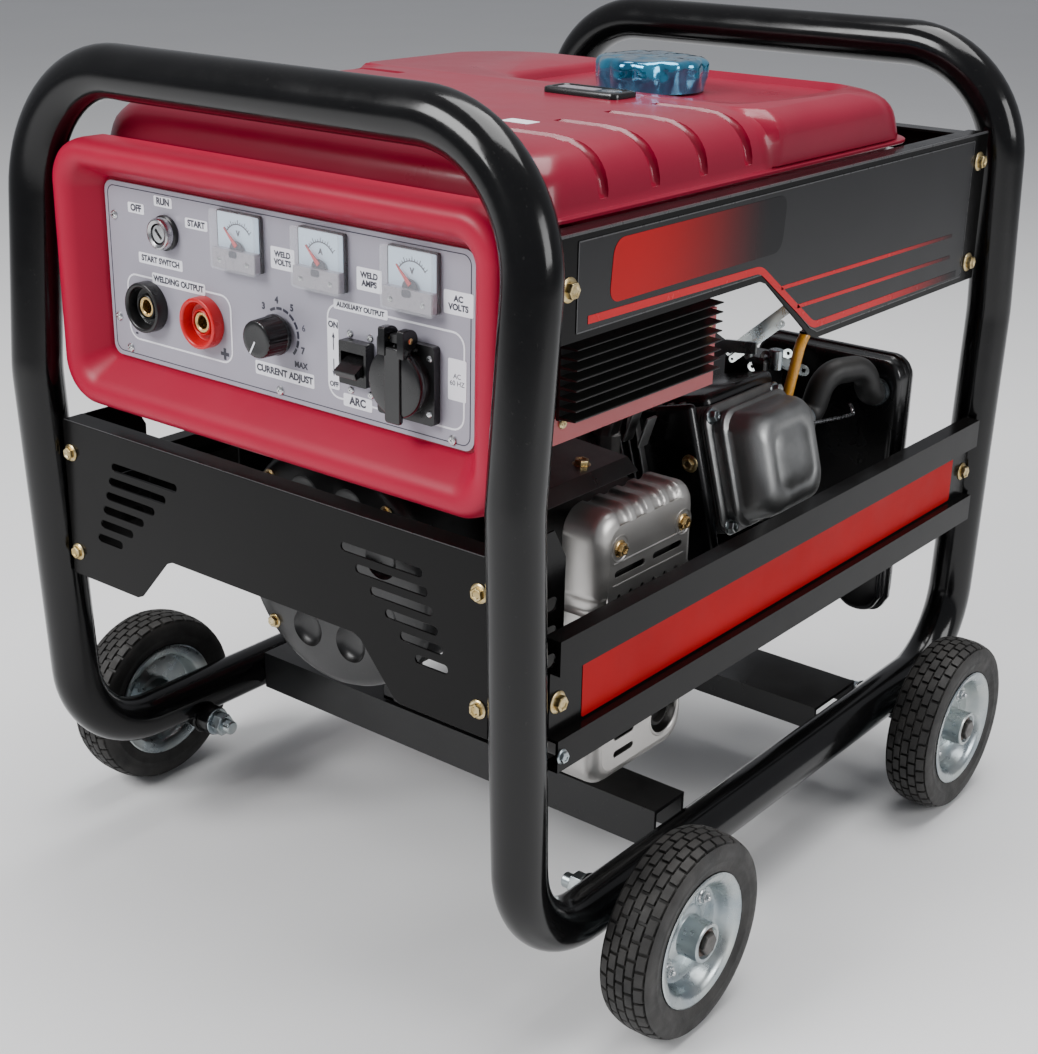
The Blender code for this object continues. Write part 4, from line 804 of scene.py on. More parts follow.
def meters():
    case, dial, dark, frost, screws, glass = Shape(), Shape(), Shape(), Shape(), Shape(), Shape()
    for name, x, z, unit in METERS:
        place = on_plate(x, z)
        w, h, t = METER_W, METER_H, 1.2
        case.prism(rounded(-w + 1, w - 1, -h + 1, h - 1, 2), 0.3, 3, place)
        case.lathe([(16, -30), (16, 1)], 40, place)
        dial.prism(rounded(-w + 2.2, w - 2.2, -6, h - 2.2, 1), 3, 3.4, place)
        pivot = -2
        arc = [(13.5 * cos(radians(a)), pivot + 13.5 * sin(radians(a)), 0) for a in range(35, 146, 5)]
        for i in range(len(arc) - 1):
            a, b = Vector(arc[i][:2]), Vector(arc[i + 1][:2])
            mid = Vector((0, pivot))
            quad = [tuple(mid + (p - mid) * s) for p, s in ((a, 0.975), (b, 0.975), (b, 1.03), (a, 1.03))]
            dark.prism(quad, 3.4, 3.6, place)
        for k in range(13):
            t2 = radians(38 + 104 * k / 12)
            along, across = Vector((cos(t2), sin(t2))), Vector((-sin(t2), cos(t2))) * 0.22
            far = 16.5 if k % 3 == 0 else 15.3
            a, b = Vector((0, pivot)) + along * 13.5, Vector((0, pivot)) + along * far
            quad = [tuple(p) for p in (a - across, b - across, b + across, a + across)]
            dark.prism(quad, 3.4, 3.6, place)
        letters(dark, unit, 0, 5.2, 5.2, 3.6, place)
        hub = [(6.2 * cos(radians(a)), pivot - 3.5 + 6.2 * sin(radians(a))) for a in range(0, 181, 12)]
        dark.prism(hub, 5, 6, place)
        dark.prism(rounded(-4, 4, -10.5, -5.7, 1.8), 9, 9.12, place)
        outer, inner = rounded(-w, w, -h, h, 2.5), rounded(-w + t, w - t, -h + t, h - t, 1.6)
        glass.plate(outer, [inner], 0.3, 9.2, place)
        glass.loft([flat(outer, 9.2), flat(rounded(-w + 0.8, w - 0.8, -h + 0.8, h - 0.8, 2), 10)], False,
            place)
        frost.prism(rounded(-w + 1.6, w - 1.6, -h + 1.6, -5.5, 1), 3.2, 9, place)
        for sx in (-13.5, 13.5):
            screws.pan_screw(place @ at(sx, -13.5, 9), 1.9, 0.8)
        carry(f"needle_{name}", NEEDLE)
    case.piece("meter_cases", BLACK_PLASTIC, "frame", ("meter_weld_volt", "meter_weld_amp",
        "meter_aux_volt"))
    dial.piece("meter_dials", DIAL)
    dark.piece("meter_marks", DARK_PRINT_AND_HOLE_SHADE, smooth=20, weld=False)
    frost.piece("meter_covers_lower", FROST, bevel=0.3)
    glass.piece("meter_glass", CLEAR, smooth=30)
    screws.piece("meter_screws", STEEL, smooth=30)


def key():
    place = on_plate(*KEY)
    Shape().lathe([(12, 0.2), (12.5, 0.6), (12.5, 3), (11.8, 3.6), (10, 3.6), (10, 0.2)], 48, place,
        closed=True).piece("key_base", BLACK_PLASTIC, smooth=40)
    Shape().lathe([(8.6, -35), (8.6, 3), (11.3, 3.6), (11.3, 8), (10.6, 9.2), (9.6, 9.6), (8.6, 9.2),
        (7.4, 8.6), (7, -20), (5, -35)], 64, place, closed=True).piece("key_ring", CHROME, "frame",
        ("key_switch",), smooth=35)
    barrel = Shape().lathe([(6.6, -15), (6.6, 7), (6.1, 7.8), (3, 7.9)], 48, place)
    turn = place @ Matrix.Rotation(radians(45), 4, "Z")
    obj = barrel.piece("key_core", STEEL, "key", ("key_barrel",), smooth=35)
    slotted = Shape().prism(rounded(-1.2, 1.2, -4.5, 4.5, 0.4), 3, 20, turn)
    subtract(obj, slotted)
    shutter = Shape().prism(rounded(-1.1, 1.1, -4.3, 4.3, 0.4), 2.5, 4.5, turn)
    shutter.piece("keyway_shutter", DARK_STEEL, "key")


def subtract(obj, *cutters):
    """Cuts each shape from the piece."""
    for cutter in cutters:
        tool = cutter.piece("cutter", obj.data.materials[0])
        modifier = obj.modifiers.new("cut", "BOOLEAN")
        modifier.operation = "DIFFERENCE"
        modifier.solver = "EXACT"
        modifier.object = tool
        bpy.context.view_layer.update()
        mesh = bpy.data.meshes.new_from_object(obj.evaluated_get(bpy.context.evaluated_depsgraph_get()))
        if not mesh.polygons:
            raise RuntimeError(f"the cut left nothing of {obj.name}")
        obj.modifiers.remove(modifier)
        obj.data = mesh
        bpy.data.objects.remove(tool)
    obj.data.shade_smooth()
    obj.data.set_sharp_from_angle(angle=radians(35))


def sockets():
    brass = Shape()
    for name, x, z in SOCKETS:
        place = on_plate(x, z)
        mat = BLACK_PLASTIC if name.endswith("black") else RED_SOCKET
        Shape().lathe([(12.6, -30), (12.6, 0.2), (18.4, 0.3), (18.4, 8), (18, 9.1), (17.2, 9.6), (16, 9.6),
            (15.2, 9.1), (14.7, 8), (13.7, 1.2), (13, 0.8), (9.5, 0.8), (9.2, 5), (8.6, 5.6), (8, 5),
            (7.6, -30)], 72, place, closed=True).piece(f"{name}_fine", mat, "frame", (name,), smooth=35)
        brass.lathe([(7.5, -20), (7.5, 3.6), (7, 4.2), (5.5, 4.2), (4.9, 3.6), (4.8, -20)], 48, place,
            closed=True)
    brass.piece("socket_brass", BRASS, smooth=35)


def knob():
    place = on_plate(*KNOB)

    def fluted(radius, height, depth):
        turns = [2 * pi * i / 144 for i in range(144)]
        reach = [radius - depth * (0.5 + 0.5 * cos(24 * t)) ** 2 for t in turns]
        return [(r * cos(t), r * sin(t), height) for r, t in zip(reach, turns)]

    rings = [fluted(3, -18, 0), fluted(3, 2.8, 0), fluted(13.8, 3, 0), fluted(14.1, 3.8, 0),
        fluted(14.1, 6, 0), fluted(13.6, 6.6, 0.12), fluted(13.1, 21.4, 0.12), fluted(12.6, 22.5, 0.03),
        fluted(11.6, 23, 0), fluted(9, 22.8, 0)]
    Shape().loft(rings, False, place).piece("knob_fine", BLACK_SATIN, "knob", ("current_knob",), smooth=40)
    turn = place @ Matrix.Rotation(radians(-120), 4, "Z")
    line = Shape().box((2, -0.6, 22.6), (11.8, 0.6, 23), 0.0, turn)
    line.box((13.2, -0.7, 6), (14, 0.7, 10), 0.0, turn)
    line.piece("knob_pointer", WHITE_PRINT, "knob")


def breaker():
    place = on_plate(*BREAKER)
    outer, inner = rounded(-12.2, 12.2, -14.5, 14.5, 1.2), rounded(-10.2, 10.2, -7.5, 7.5, 0.5)
    body = Shape().plate(outer, [inner], 0.3, 8, place)
    body.prism(rounded(-9.6, 9.6, -12, 12, 0.8), -40, 0.8, place)
    body.piece("breaker_frame", BLACK_PLASTIC, "frame", ("breaker_body",), smooth=30, bevel=0.5)
    pivot = place @ Vector((0, 0, 1.5))
    lever = [(-4, -3), (4, -3), (4, 4), (3, 10), (2.4, 15), (-2.4, 15), (-3, 10), (-4, 4)]
    down = Matrix.Translation(pivot) @ FACING_FRONT @ Matrix.Rotation(radians(24), 4, "X") @ ALONG_X
    Shape().prism(lever, -9.4, 9.4, down).piece("breaker_lever", BLACK_SATIN, "toggle", ("breaker_toggle",),
        bevel=0.7)
    screws = Shape()
    for x in (68.5, 86.5):
        for z in (494.5, 456):
            screws.pan_screw(on_plate(x, z) @ Matrix.Rotation(x * 0.09, 4, "Z"), 2.6, 1.4)
    for z in (492.5, 456.5):
        screws.pan_screw(on_plate(142.5, z) @ at(0, 0, 6), 2.2, 1)
    screws.piece("small_screws", STEEL, smooth=30)


def outlet():
    x, z = OUTLET
    out, up = LID_HINGE
    place = on_plate(x, z)
    hinge = Matrix.Translation(Vector((x, PLATE_Y - out, z + up))) @ ALONG_X
    body = Shape().plate(rounded(-24.5, 24.5, -26, 26, 3), [disc(0, 0, 19, 48)], 0.3, 6, place)
    body.lathe([(19.2, -30), (19.2, 5.2), (21.5, 5.2), (21.5, 10.4), (20.9, 11), (18.6, 11), (18, 10.4),
        (18, -12), (1, -12), (1, -30)], 64, place, closed=True)
    lug = [(8.5, -8.5), (8.5, 2.8), (-2.5, 2.8), (-2.5, -2.6), (2.2, -2.6), (2.2, -8.5)]
    body.prism(lug, -4.5, 4.5, hinge)
    body.piece("outlet_base", BLACK_PLASTIC, "frame", ("outlet_body",), smooth=30, bevel=0.5)
    lid = Shape().lathe([(21.2, 11.6), (22.5, 12.2), (22.5, 15.4), (21.8, 16.6), (20.4, 17.2), (10, 17.4)],
        72, place)
    lid.prism(rounded(-6.5, 6.5, -26.2, 24, 2), 15, 18.8, place, 0.8)
    cheek = [(7.3 * cos(radians(a)), 7.3 * sin(radians(a))) for a in range(-30, 91, 12)]
    cheek += [(-6, 7), (-6.6, 6), (-6.6, -11), (1, -11), (1, -7.2)]
    for low in (-10.8, 5.2):
        lid.prism(cheek, low, low + 5.6, hinge)
    lid.piece("outlet_cover", BLACK_SATIN, "lid", ("outlet_lid",), smooth=35, bevel=0.5)
    Shape().lathe([(2, -11.2), (2, 11.2), (1.2, 11.6)], 24, hinge).piece("lid_pin", BRASS, "lid")


# tank

TANK_RINGS = ((188, -223, 188, 30, 500), (196, -232, 196, 34, 506), (198, -235, 198, 34, 555),
    (198.4, -240, 198.2, 34, 564), (199, -248, 198.5, 34, 570), (200, -270, 199, 34, 576.5),
    (201, -286, 200, 34, 579.2), (210, -293, 205.5, 34, 579.7), (210.5, -293.5, 206, 34, 580.2),
    (210.5, -293.5, 206, 34, 582), (210, -293, 205.5, 34, 582.5), (205.6, -292.4, 202.4, 34, 582.8),
    (204.6, -291.8, 201.6, 34, 584.2), (203.8, -291.2, 200.8, 34, 588), (203, -290.6, 200, 35, 593),
    (201.8, -289.8, 198.8, 36, 599), (199.9, -288.4, 197.2, 37, 604.5), (197, -286, 195, 38, 609),
    (193.2, -282.8, 191.7, 38, 613.2), (188.5, -278.6, 187.6, 38, 616.5), (183.8, -273.8, 183.1, 38, 618.7),
    (178.5, -268, 177.5, 38, 620.3), (170, -259, 169, 37, 621.6), (160, -250, 160, 36, 622.5))
BLOCK_Y = -20
CAP_AT = (43, 66)


def tank_ring(x, y0, y1, r, z):
    """Rounded rectangle with finely divided sides, fuller at the shoulder behind BLOCK_Y."""
    points = []
    corners = rounded(-x, x, y0, y1, r, 12)
    for (ax, ay), (bx, by) in zip(corners, corners[1:] + corners[:1]):
        span = hypot(bx - ax, by - ay)
        count = 72 if span > 200 and abs(bx - ax) < 1e-3 else 1
        for i in range(count):
            points.append((ax + (bx - ax) * i / count, ay + (by - ay) * i / count))
    full = 208 if z < 606 else 208 - 16.5 * ((z - 606) / 16.5) ** 2.4
    ring = []
    for px, py in points:
        if z > 584 and abs(px) > 120:
            share = min(1.0, max(0.0, (py - BLOCK_Y) / 10))
            fade = min(1.0, max(0.0, (y1 - py) / 50))
            share = share * share * (3 - 2 * share) * fade
            px *= 1 + share * (full / x - 1)
        ring.append((px, py, z))
    return ring


def fuel_tank():
    shape = Shape().loft([tank_ring(*ring) for ring in TANK_RINGS])
    tank = shape.piece("tank_shell", RED_TANK, "frame", ("fuel_tank",), smooth=40)
    tray = Shape().loft([flat(rounded(-60, 166, 8, 172, 30, 10), 615), flat(rounded(-60.5, 166.5, 7.5,
        172.5, 30.5, 10), 615.6), flat(rounded(-62.5, 168.5, 5.5, 174.5, 32, 10), 618.5),
        flat(rounded(-65, 171, 3, 177, 33, 10), 621.2), flat(rounded(-70, 176, -2, 182, 35, 10), 622.8),
        flat(rounded(-71, 177, -3, 183, 36, 10), 630)])
    profile = [(122, 640), (122, 621.5), (124.5, 619.7), (158, 619.6), (170, 618), (180, 615), (188, 610.5),
        (194, 604.5), (197.5, 598), (199.5, 590.5), (202, 588), (230, 588), (230, 640)]
    grooves = Shape()
    for side in (1, -1):
        for y in (-215, -158, -101, -44):
            start = 122
            rings = []
            for offset, drop in ((-5.6, 3.4), (-4.4, 0.6), (-3.4, 0.0), (3.4, 0.0), (4.4, 0.6), (5.6, 3.4)):
                ring = []
                for px, pz in profile:
                    deep = pz < 635 and px < 215
                    ring.append((side * (px + (drop * 0.8 if deep and px > start else 0)), y + offset,
                        pz + (drop if deep else 0)))
                rings.append(ring)
            grooves.loft(rings)
    hole = Shape().lathe([(3.5, 570), (3.5, 590)], 24, at(193.5, -280, 0))
    subtract(tank, tray, grooves, hole)
    x, y = CAP_AT
    Shape().lathe([(29, 614), (33, 614), (33, 622), (32.5, 622.5), (29.5, 622.5), (29, 622)], 64,
        at(x, y, 0), closed=True).piece("filler_neck", RED_TANK)
    Shape().prism(rounded(98, 122, -190, -176, 1), 622.55, 622.68).piece("tank_sticker", WHITE_PRINT)



def fuel_cap():
    """Scalloped cap under crumpled film."""
    x, y = CAP_AT
    steps = 168

    def ring(radius, height, scallop, crumple):
        points = []
        for i in range(steps):
            t = 2 * pi * i / steps
            lobe = (0.5 + 0.5 * cos(12 * t)) ** 0.7
            spot = Vector((radius * cos(t), radius * sin(t), height)) * 0.062
            bump = noise.noise(spot) * crumple + noise.noise(spot * 2.7) * crumple * 0.45
            r = radius - scallop * (1 - lobe) + bump
            points.append((r * cos(t), r * sin(t), height + bump * (0.4 if radius > 40 else 1.0)))
        return points

    rings = [ring(34, 622.9, 0, 0), ring(34, 616.8, 0, 0), ring(42.5, 616.6, 0, 0.3),
        ring(43.2, 620, 1, 0.5), ring(44, 624, 2, 0.7)]
    rings += [ring(44.6, h, 2.6, 1.1) for h in (626.2, 628.5, 630.8, 633.1, 635.4)]
    rings += [ring(r, h, s, 1) for r, h, s in ((44.2, 637.4, 2.4), (43.2, 639, 1.8), (41.6, 640.2, 1),
        (39.2, 641, 0.3))]
    rings += [ring(r, 641.2 + 0.4 * (1 - r / 40), 0, 1.1) for r in (36, 32, 28, 24, 20, 16, 12, 8, 4, 1)]
    Shape().loft(rings, False, at(x, y, 0)).piece("cap_film", BLUE, "cap", ("fuel_cap",), smooth=70)


def fuel_gauge():
    place = at(60, -38, 0)
    loops = [flat(rounded(-w, w, -h, h, r, 10), z) for w, h, r, z in ((34, 15, 6, 622.8),
        (34, 15, 6, 625.5), (33.4, 14.4, 5.6, 626.5), (32, 13, 5, 627), (29.6, 10.6, 4.6, 627),
        (29, 10, 4.2, 626.4))]
    Shape().loft(loops, False, place).piece("gauge_case", BLACK_SATIN, "frame", ("fuel_gauge",), smooth=35)
    lens = Shape().lathe([(7.5, 626.2), (7.5, 626.8), (6.6, 627.3), (3, 627.4)], 40, place @ at(20, 0, 0))
    lens.piece("gauge_lens", CLEAR)
    Shape().prism(rounded(-26, 8, -6, 6, 2), 626.3, 626.6, place).piece("gauge_window", FROST)
    Shape().lathe([(3.4, 626.2), (3.4, 626.6)], 24, place @ at(20, 0, 0)).piece("gauge_screw", STEEL)


# electrics


def electrics():
    carry("rectifier_box", RED_BOX, 0.6)
    pitch, count, low, high, root, tip = 6.6, 8, 457, 508, 211, 226.5
    outline = [(root - 24, 465), (root - 24, 488), (root, 488), (root, high), (root + 2.5, high)]
    for i in range(count - 1, -1, -1):
        z = low + 1 + i * pitch
        outline += [(root + 2.5, z + 2), (tip - 0.4, z + 1.4), (tip, z + 1.1), (tip, z + 0.7),
            (tip - 0.4, z + 0.4), (root + 2.5, z)]
    outline += [(root + 2.5, low), (root, low), (root, 465)]
    Shape().prism(outline, -268, -102, UPRIGHT).piece("sink_fins", SINK, "frame", ("heat_sink",), smooth=20)
    screw = Shape().pan_screw(outward(1, -260, 453, 210), 3.6, 2)
    screw.pan_screw(outward(1, -93, 485, 210), 3, 1.8)
    screw.piece("box_screws", YELLOW_ZINC, smooth=30)
    # Painted shade: two thin dark discs on the rectifier box's side stand for the dark inside of its small
    # holes.
    hole = Shape()
    for y in (-110, -100):
        hole.lathe([(1.2, 0.0), (1.2, 0.3)], 16, outward(1, y, 453, 210))
    hole.piece("box_hole_shade", DARK_PRINT_AND_HOLE_SHADE)


# engine

CRANK = Vector((0.0, 53, 295))
TILT = radians(15)
ALT_R, ALT_Y = 94.5, (-262, -30.5)


def on_crank(y=0.0):
    return at(CRANK.x, y, CRANK.z) @ ALONG_Y


def on_cylinder(distance=0.0):
    out = Vector((cos(TILT), 0, sin(TILT)))
    up = Vector((-sin(TILT), 0, cos(TILT)))
    m = Matrix((up.cross(out), up, out)).transposed().to_4x4()
    return Matrix.Translation(CRANK + out * distance) @ m


def alternator():
    y0, y1 = ALT_Y
    place = on_crank()
    body = Shape().lathe([(1, y0 + 2), (26, y0 + 2), (28, y0), (70, y0), (86, y0 + 1.5), (91.5, y0 + 5),
        (ALT_R, y0 + 11), (ALT_R, y0 + 18), (92, y0 + 19), (92, y1 - 20), (ALT_R, y1 - 19), (ALT_R, y1 - 1),
        (93.5, y1), (1, y1)], 96, place)
    obj = body.piece("alternator_case", SHEET, "frame", ("alternator",), smooth=40)
    dimples = Shape()
    for k in range(8):
        t = 2 * pi * (k + 0.5) / 8
        spot = place @ at(58 * cos(t), 58 * sin(t), 0)
        dimples.lathe([(15.5, y0 - 10), (15, y0 - 0.4), (12.8, y0 + 2.8), (9, y0 + 4.8), (4, y0 + 5.6)], 32,
            spot)
    subtract(obj, dimples)
    foot = Shape().box((-70, -130, 114.5), (-55, -94, 240), 2)
    foot.box((55, -130, 114.5), (70, -94, 240), 2)
    foot.box((-70, -130, 114.5), (70, -94, 121), 2)
    foot.piece("alternator_foot", SHEET)
    bolts = Shape()
    for k in range(4):
        t = pi / 4 + k * pi / 2
        spot = place @ at(83 * cos(t), 83 * sin(t), y0 + 1.2) @ Matrix.Rotation(pi, 4, "X")
        bolts.hex_bolt(spot, 4.4, 3, 5.8)
    bolts.piece("alternator_bolts", YELLOW_ZINC, smooth=30, bevel=0.2)
    carry("rotor_shaft", DARK_STEEL)
    carry("flywheel", DARK_ALLOY)
    guard = [(-105, 330), (-103.4, 330), (-103.4, 399.4), (160, 381), (170, 373), (171.4, 374),
        (161.2, 382.6), (-105, 401.2)]
    Shape().prism(guard, -250, -115, UPRIGHT).piece("guard_sheet", SHEET, "frame", ("heat_guard",),
        smooth=40, bevel=0.3)
    carry("tank_support", CHARCOAL, 0.4)


def engine():
    carry("engine_block", DARK_ALLOY, 1.2)
    place = on_cylinder()
    cover = []
    for a, b, h, r in ((54, 51, 169.3, 14), (55, 52, 169.9, 14), (55, 52, 172, 14), (54.4, 51.4, 172.7, 14),
            (48, 45.5, 172.9, 16), (47.5, 45, 173.4, 16), (47.5, 45, 179.6, 16), (48.2, 45.7, 180.2, 16),
            (49.8, 47.3, 180.6, 16), (50.2, 47.7, 181.3, 16), (50.2, 47.7, 183.4, 16),
            (49.6, 47.1, 184.2, 16), (47.4, 44.9, 184.6, 16), (46.4, 43.9, 185.4, 16), (46, 43.5, 190, 17),
            (45.5, 43, 196, 18), (44.6, 42.1, 201, 18), (43, 40.7, 205.2, 18), (40.6, 38.5, 208.8, 18),
            (37.2, 35.2, 211.4, 18), (33.5, 31.5, 212.5, 17), (29, 27, 212.6, 15), (28, 26, 212, 14),
            (24, 22, 211.9, 12), (23.2, 21.2, 212.4, 11), (10, 9, 212.6, 6)):
        cover.append(flat(rounded(-a, a, -b, b, r, 14), h))
    Shape().loft(cover, False, place).piece("rocker_dome", ALLOY, "frame", ("rocker_cover",), smooth=48)
    bolts = Shape()
    for px, py in ((-44, 41.5), (44, 41.5), (-44, -41.5), (44, -41.5)):
        bolts.hex_bolt(place @ at(px * 1.08, py * 1.08, 172.7), 4.8, 5.2, 6.6)
    bolts.piece("rocker_bolts", ZINC, smooth=30, bevel=0.2)
    fins = Shape()
    for k in range(7):
        h = 64 + k * 8.6
        fins.prism(rounded(-72, 58, -57.5, 56, 16, 8), h, h + 2, place, 0.4)
    for k in range(5):
        z = 156 + k * 2.8
        fins.prism(rounded(-54.5, 54.5, -51.5, 51.5, 12, 6), z, z + 1.2, place)
    fins.piece("cylinder_fins", ALLOY, smooth=30)
    shroud = Shape()
    shroud.box((-40, 42, 60), (62, 60, 166), 6, place)
    shroud.box((-66, -90, 114), (-56, 58, 168), 4, place)
    shroud.box((-60, -68, 64), (60, -58, 166), 4, place)
    shroud.piece("cylinder_shroud", BLACK_SATIN, smooth=40)
    ribs = Shape()
    for k in range(8):
        turn = at(18 + 14 * k, -30, 370 - 1.6 * k) @ Matrix.Rotation(radians(18), 4, "Y")
        ribs.prism(rounded(-1.1, 1.1, -6.5, 6.5, 0.9, 3), 0.0, 26, turn, 0.4)
    ribs.piece("engine_ribs", ALLOY, smooth=30)
    top = Shape().hex_bolt(place @ at(-65.5, 11.9, 158.5) @ Matrix.Rotation(-pi / 2, 4, "Y"), 5, 4, 7.2)
    top.piece("shroud_bolt", YELLOW_ZINC, smooth=30, bevel=0.2)
    carry("fan_shroud", BLACK_SATIN, 1.2)
    recoil()


def recoil():
    place = on_crank()
    cover = Shape().lathe([(74.5, 202.4), (78, 202.4), (78, 205.2), (77.2, 207), (74.5, 218), (72.2, 226),
        (70, 230.5), (67.2, 234.8), (64, 237.4), (60, 238.6), (40, 239.6), (33, 239.8), (31, 240.5),
        (1, 240.5), (1, 236), (62, 235), (67, 229), (74.5, 206)], 96, place, closed=True)
    obj = cover.piece("recoil_cover", BLACK_SATIN, "frame", ("recoil_starter",), smooth=38)
    vents = Shape()
    for k in range(18):
        t = 2 * pi * k / 18
        if abs(degrees(t) - 180) < 25:
            continue
        turn = place @ Matrix.Rotation(t, 4, "Z")
        vents.prism(rounded(38, 58, -3.2, 3.2, 3, 5), 237.2, 250, turn)
    subtract(obj, vents)
    guide = Shape().lathe([(10, 230), (10, 243), (9.2, 244), (4.5, 244), (3.8, 242.5), (3.8, 230)], 32,
        at(-55, 0, 16) @ place, closed=True)
    guide.piece("rope_guide", BLACK_SATIN, smooth=38)
    x, y, z = -55, 244.5, CRANK.z + 16
    quarter = pi / 2
    bar = at(x, y + 18, z) @ Matrix.Rotation(quarter, 4, "X") @ Matrix.Rotation(quarter, 4, "Y")
    grip = Shape().lathe([(2, -38.5), (5.5, -38.2), (8, -36.2), (10, -33), (10.6, -29), (10.2, -20),
        (9.2, -8), (9, 0.0), (9.2, 8), (10.2, 20), (10.6, 29), (10, 33), (8, 36.2), (5.5, 38.2), (2, 38.5)],
        40, bar)
    grip.lathe([(5, 0.0), (6.2, 2), (7.5, 12)], 32, at(x, y, z) @ ALONG_Y)
    grip.piece("pull_grip", BLACK_PLASTIC, "pull_handle", ("recoil_handle",), smooth=40)
    rope = Shape().pipe([Vector((x, 230 + i, z)) for i in range(17)], 2.2, 20)
    obj = rope.piece("pull_rope", RUBBER, None, smooth=60)
    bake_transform(obj)


# exhaust, intake and controls


def exhaust():
    body = Shape().box((100, -187, 160), (188, -81, 356), 12)
    body.lathe([(14, -90), (14, -4)], 40, at(130, 0, 315) @ ALONG_Y)
    for z in (205, 310):
        body.prism(rounded(98.5, 188.5, -188.5, -79.5, 12), z, z + 3)
    body.piece("muffler_can", SOOT, "frame", ("muffler",), smooth=40)
    x0, x1, y0, y1, z0, z1 = 164, 197, -194, -74, 150, 365
    edge = 12
    rings = [(0.0, x0, 20), (0.0, x1 - edge, 20)]
    for a in range(15, 91, 15):
        t = radians(a)
        rings.append((edge * (1 - cos(t)), x1 - edge * (1 - sin(t)), 20 - 5 * a / 90))
    inner = [(inset + 1, x - 1.2, r - 0.8) for inset, x, r in reversed(rings)]
    loops = []
    for inset, x, r in rings + inner:
        loop = rounded(y0 + inset, y1 - inset, z0 + inset, z1 - inset, r, 10)
        fine = []
        for (ay, az), (by, bz) in zip(loop, loop[1:] + loop[:1]):
            span = max(abs(by - ay), abs(bz - az)) if min(abs(by - ay), abs(bz - az)) < 1e-3 else 0
            count = 80 if span > 50 else 1
            for i in range(count):
                fine.append((ay + (by - ay) * i / count, az + (bz - az) * i / count))
        ring = []
        for py, pz in fine:
            lift = 0.0
            if pz > z1 - 14:
                for centre in (-165, -145, -123, -103):
                    lift = max(lift, 1 - ((py - centre) / 6.5) ** 4) if abs(py - centre) < 6.5 else lift
            side = 0.0
            if py < y0 + 14:
                for centre in (295, 269, 243, 217):
                    side = max(side, 1 - ((pz - centre) / 7) ** 4) if abs(pz - centre) < 7 else side
            ring.append((x - (2.2 * lift + 3 * side) * (x > x0 + 12), py + 3.8 * side, pz - 2.6 * lift))
        loops.append(ring)
    shield = Shape().loft(loops, True)
    shield.piece("shield_rim", SHIELD, "frame", ("heat_shield",), smooth=40)
    holes = [slot(-176, -139, 318, 2.6), slot(-129, -92, 318, 2.6), slot(-168, -143, 186, 2.6),
        slot(-168, -143, 172, 2.6), disc(-103.5, 183, 17, 48)]
    holes += [disc(-169.5 + 14.3 * k, 299, 2.7, 20) for k in range(7)]
    face = Shape().plate(rounded(y0 + 10.8, y1 - 10.8, z0 + 10.8, z1 - 10.8, 14.5, 12), holes, x1 - 1.2, x1,
        ALONG_X)
    face.piece("shield_face", SHIELD, smooth=30, bevel=0.3)
    relief = Shape()
    for z, half in ((326.5, 1.2), (309.5, 1), (290.5, 1), (225, 1)):
        rings = []
        for a in range(0, 181, 30):
            t = radians(a)
            rings.append([(x1 - 0.4 + 0.9 * sin(t), p, z + half * cos(t)) for p in (y0 + 16, y1 - 16)])
        for a, b in zip(rings, rings[1:]):
            relief.bm.faces.new([relief.bm.verts.new(v) for v in (a[0], a[1], b[1], b[0])])
    relief.lathe([(17.2, x1 - 0.6), (17.8, x1 + 0.6), (18.8, x1 + 0.8), (20, x1 - 0.4)], 64,
        at(0, -103.5, 183) @ ALONG_X, closed=True)
    relief.piece("shield_beads", SHIELD, smooth=70)
    pads, bolts = Shape(), Shape()
    for y, z in ((-171, 337), (-91.5, 334)):
        spot = outward(1, y, z, x1 - 0.2)
        pads.lathe([(10.2, 0.0), (10, 0.8), (9.2, 0.8), (8.6, 0.1), (1, 0.1)], 40, spot)
        bolts.hex_bolt(spot, 4.8, 3.6, 6.4)
    pads.piece("shield_pads", SHIELD, smooth=50)
    bolts.piece("shield_bolts", BRASS, smooth=30, bevel=0.2)
    Shape().lathe([(12.5, 0.0), (12.5, 4), (11.5, 4.5), (10, 4.5), (9.5, 0.0)], 48,
        outward(1, -103.5, 183, 188.5), closed=True).piece("tail_pipe", SOOT)


def flat_bar(shape, a, b, width, thickness):
    """A strip of plate from a to b with round ends, its face turned to +X."""
    along = (b - a).normalized()
    outlook = Vector((1, -0.35, 0.55))
    face = (outlook - along * along.dot(outlook)).normalized()
    across = face.cross(along)
    turn = Matrix.Translation(a) @ Matrix((along, across, face)).transposed().to_4x4()
    length, half = (b - a).length, width / 2
    holes = [disc(x, 0, half * 0.4, 16) for x in (0, length)]
    shape.plate(slot(-half, length + half, 0, half, 10), holes, 0, thickness, turn)


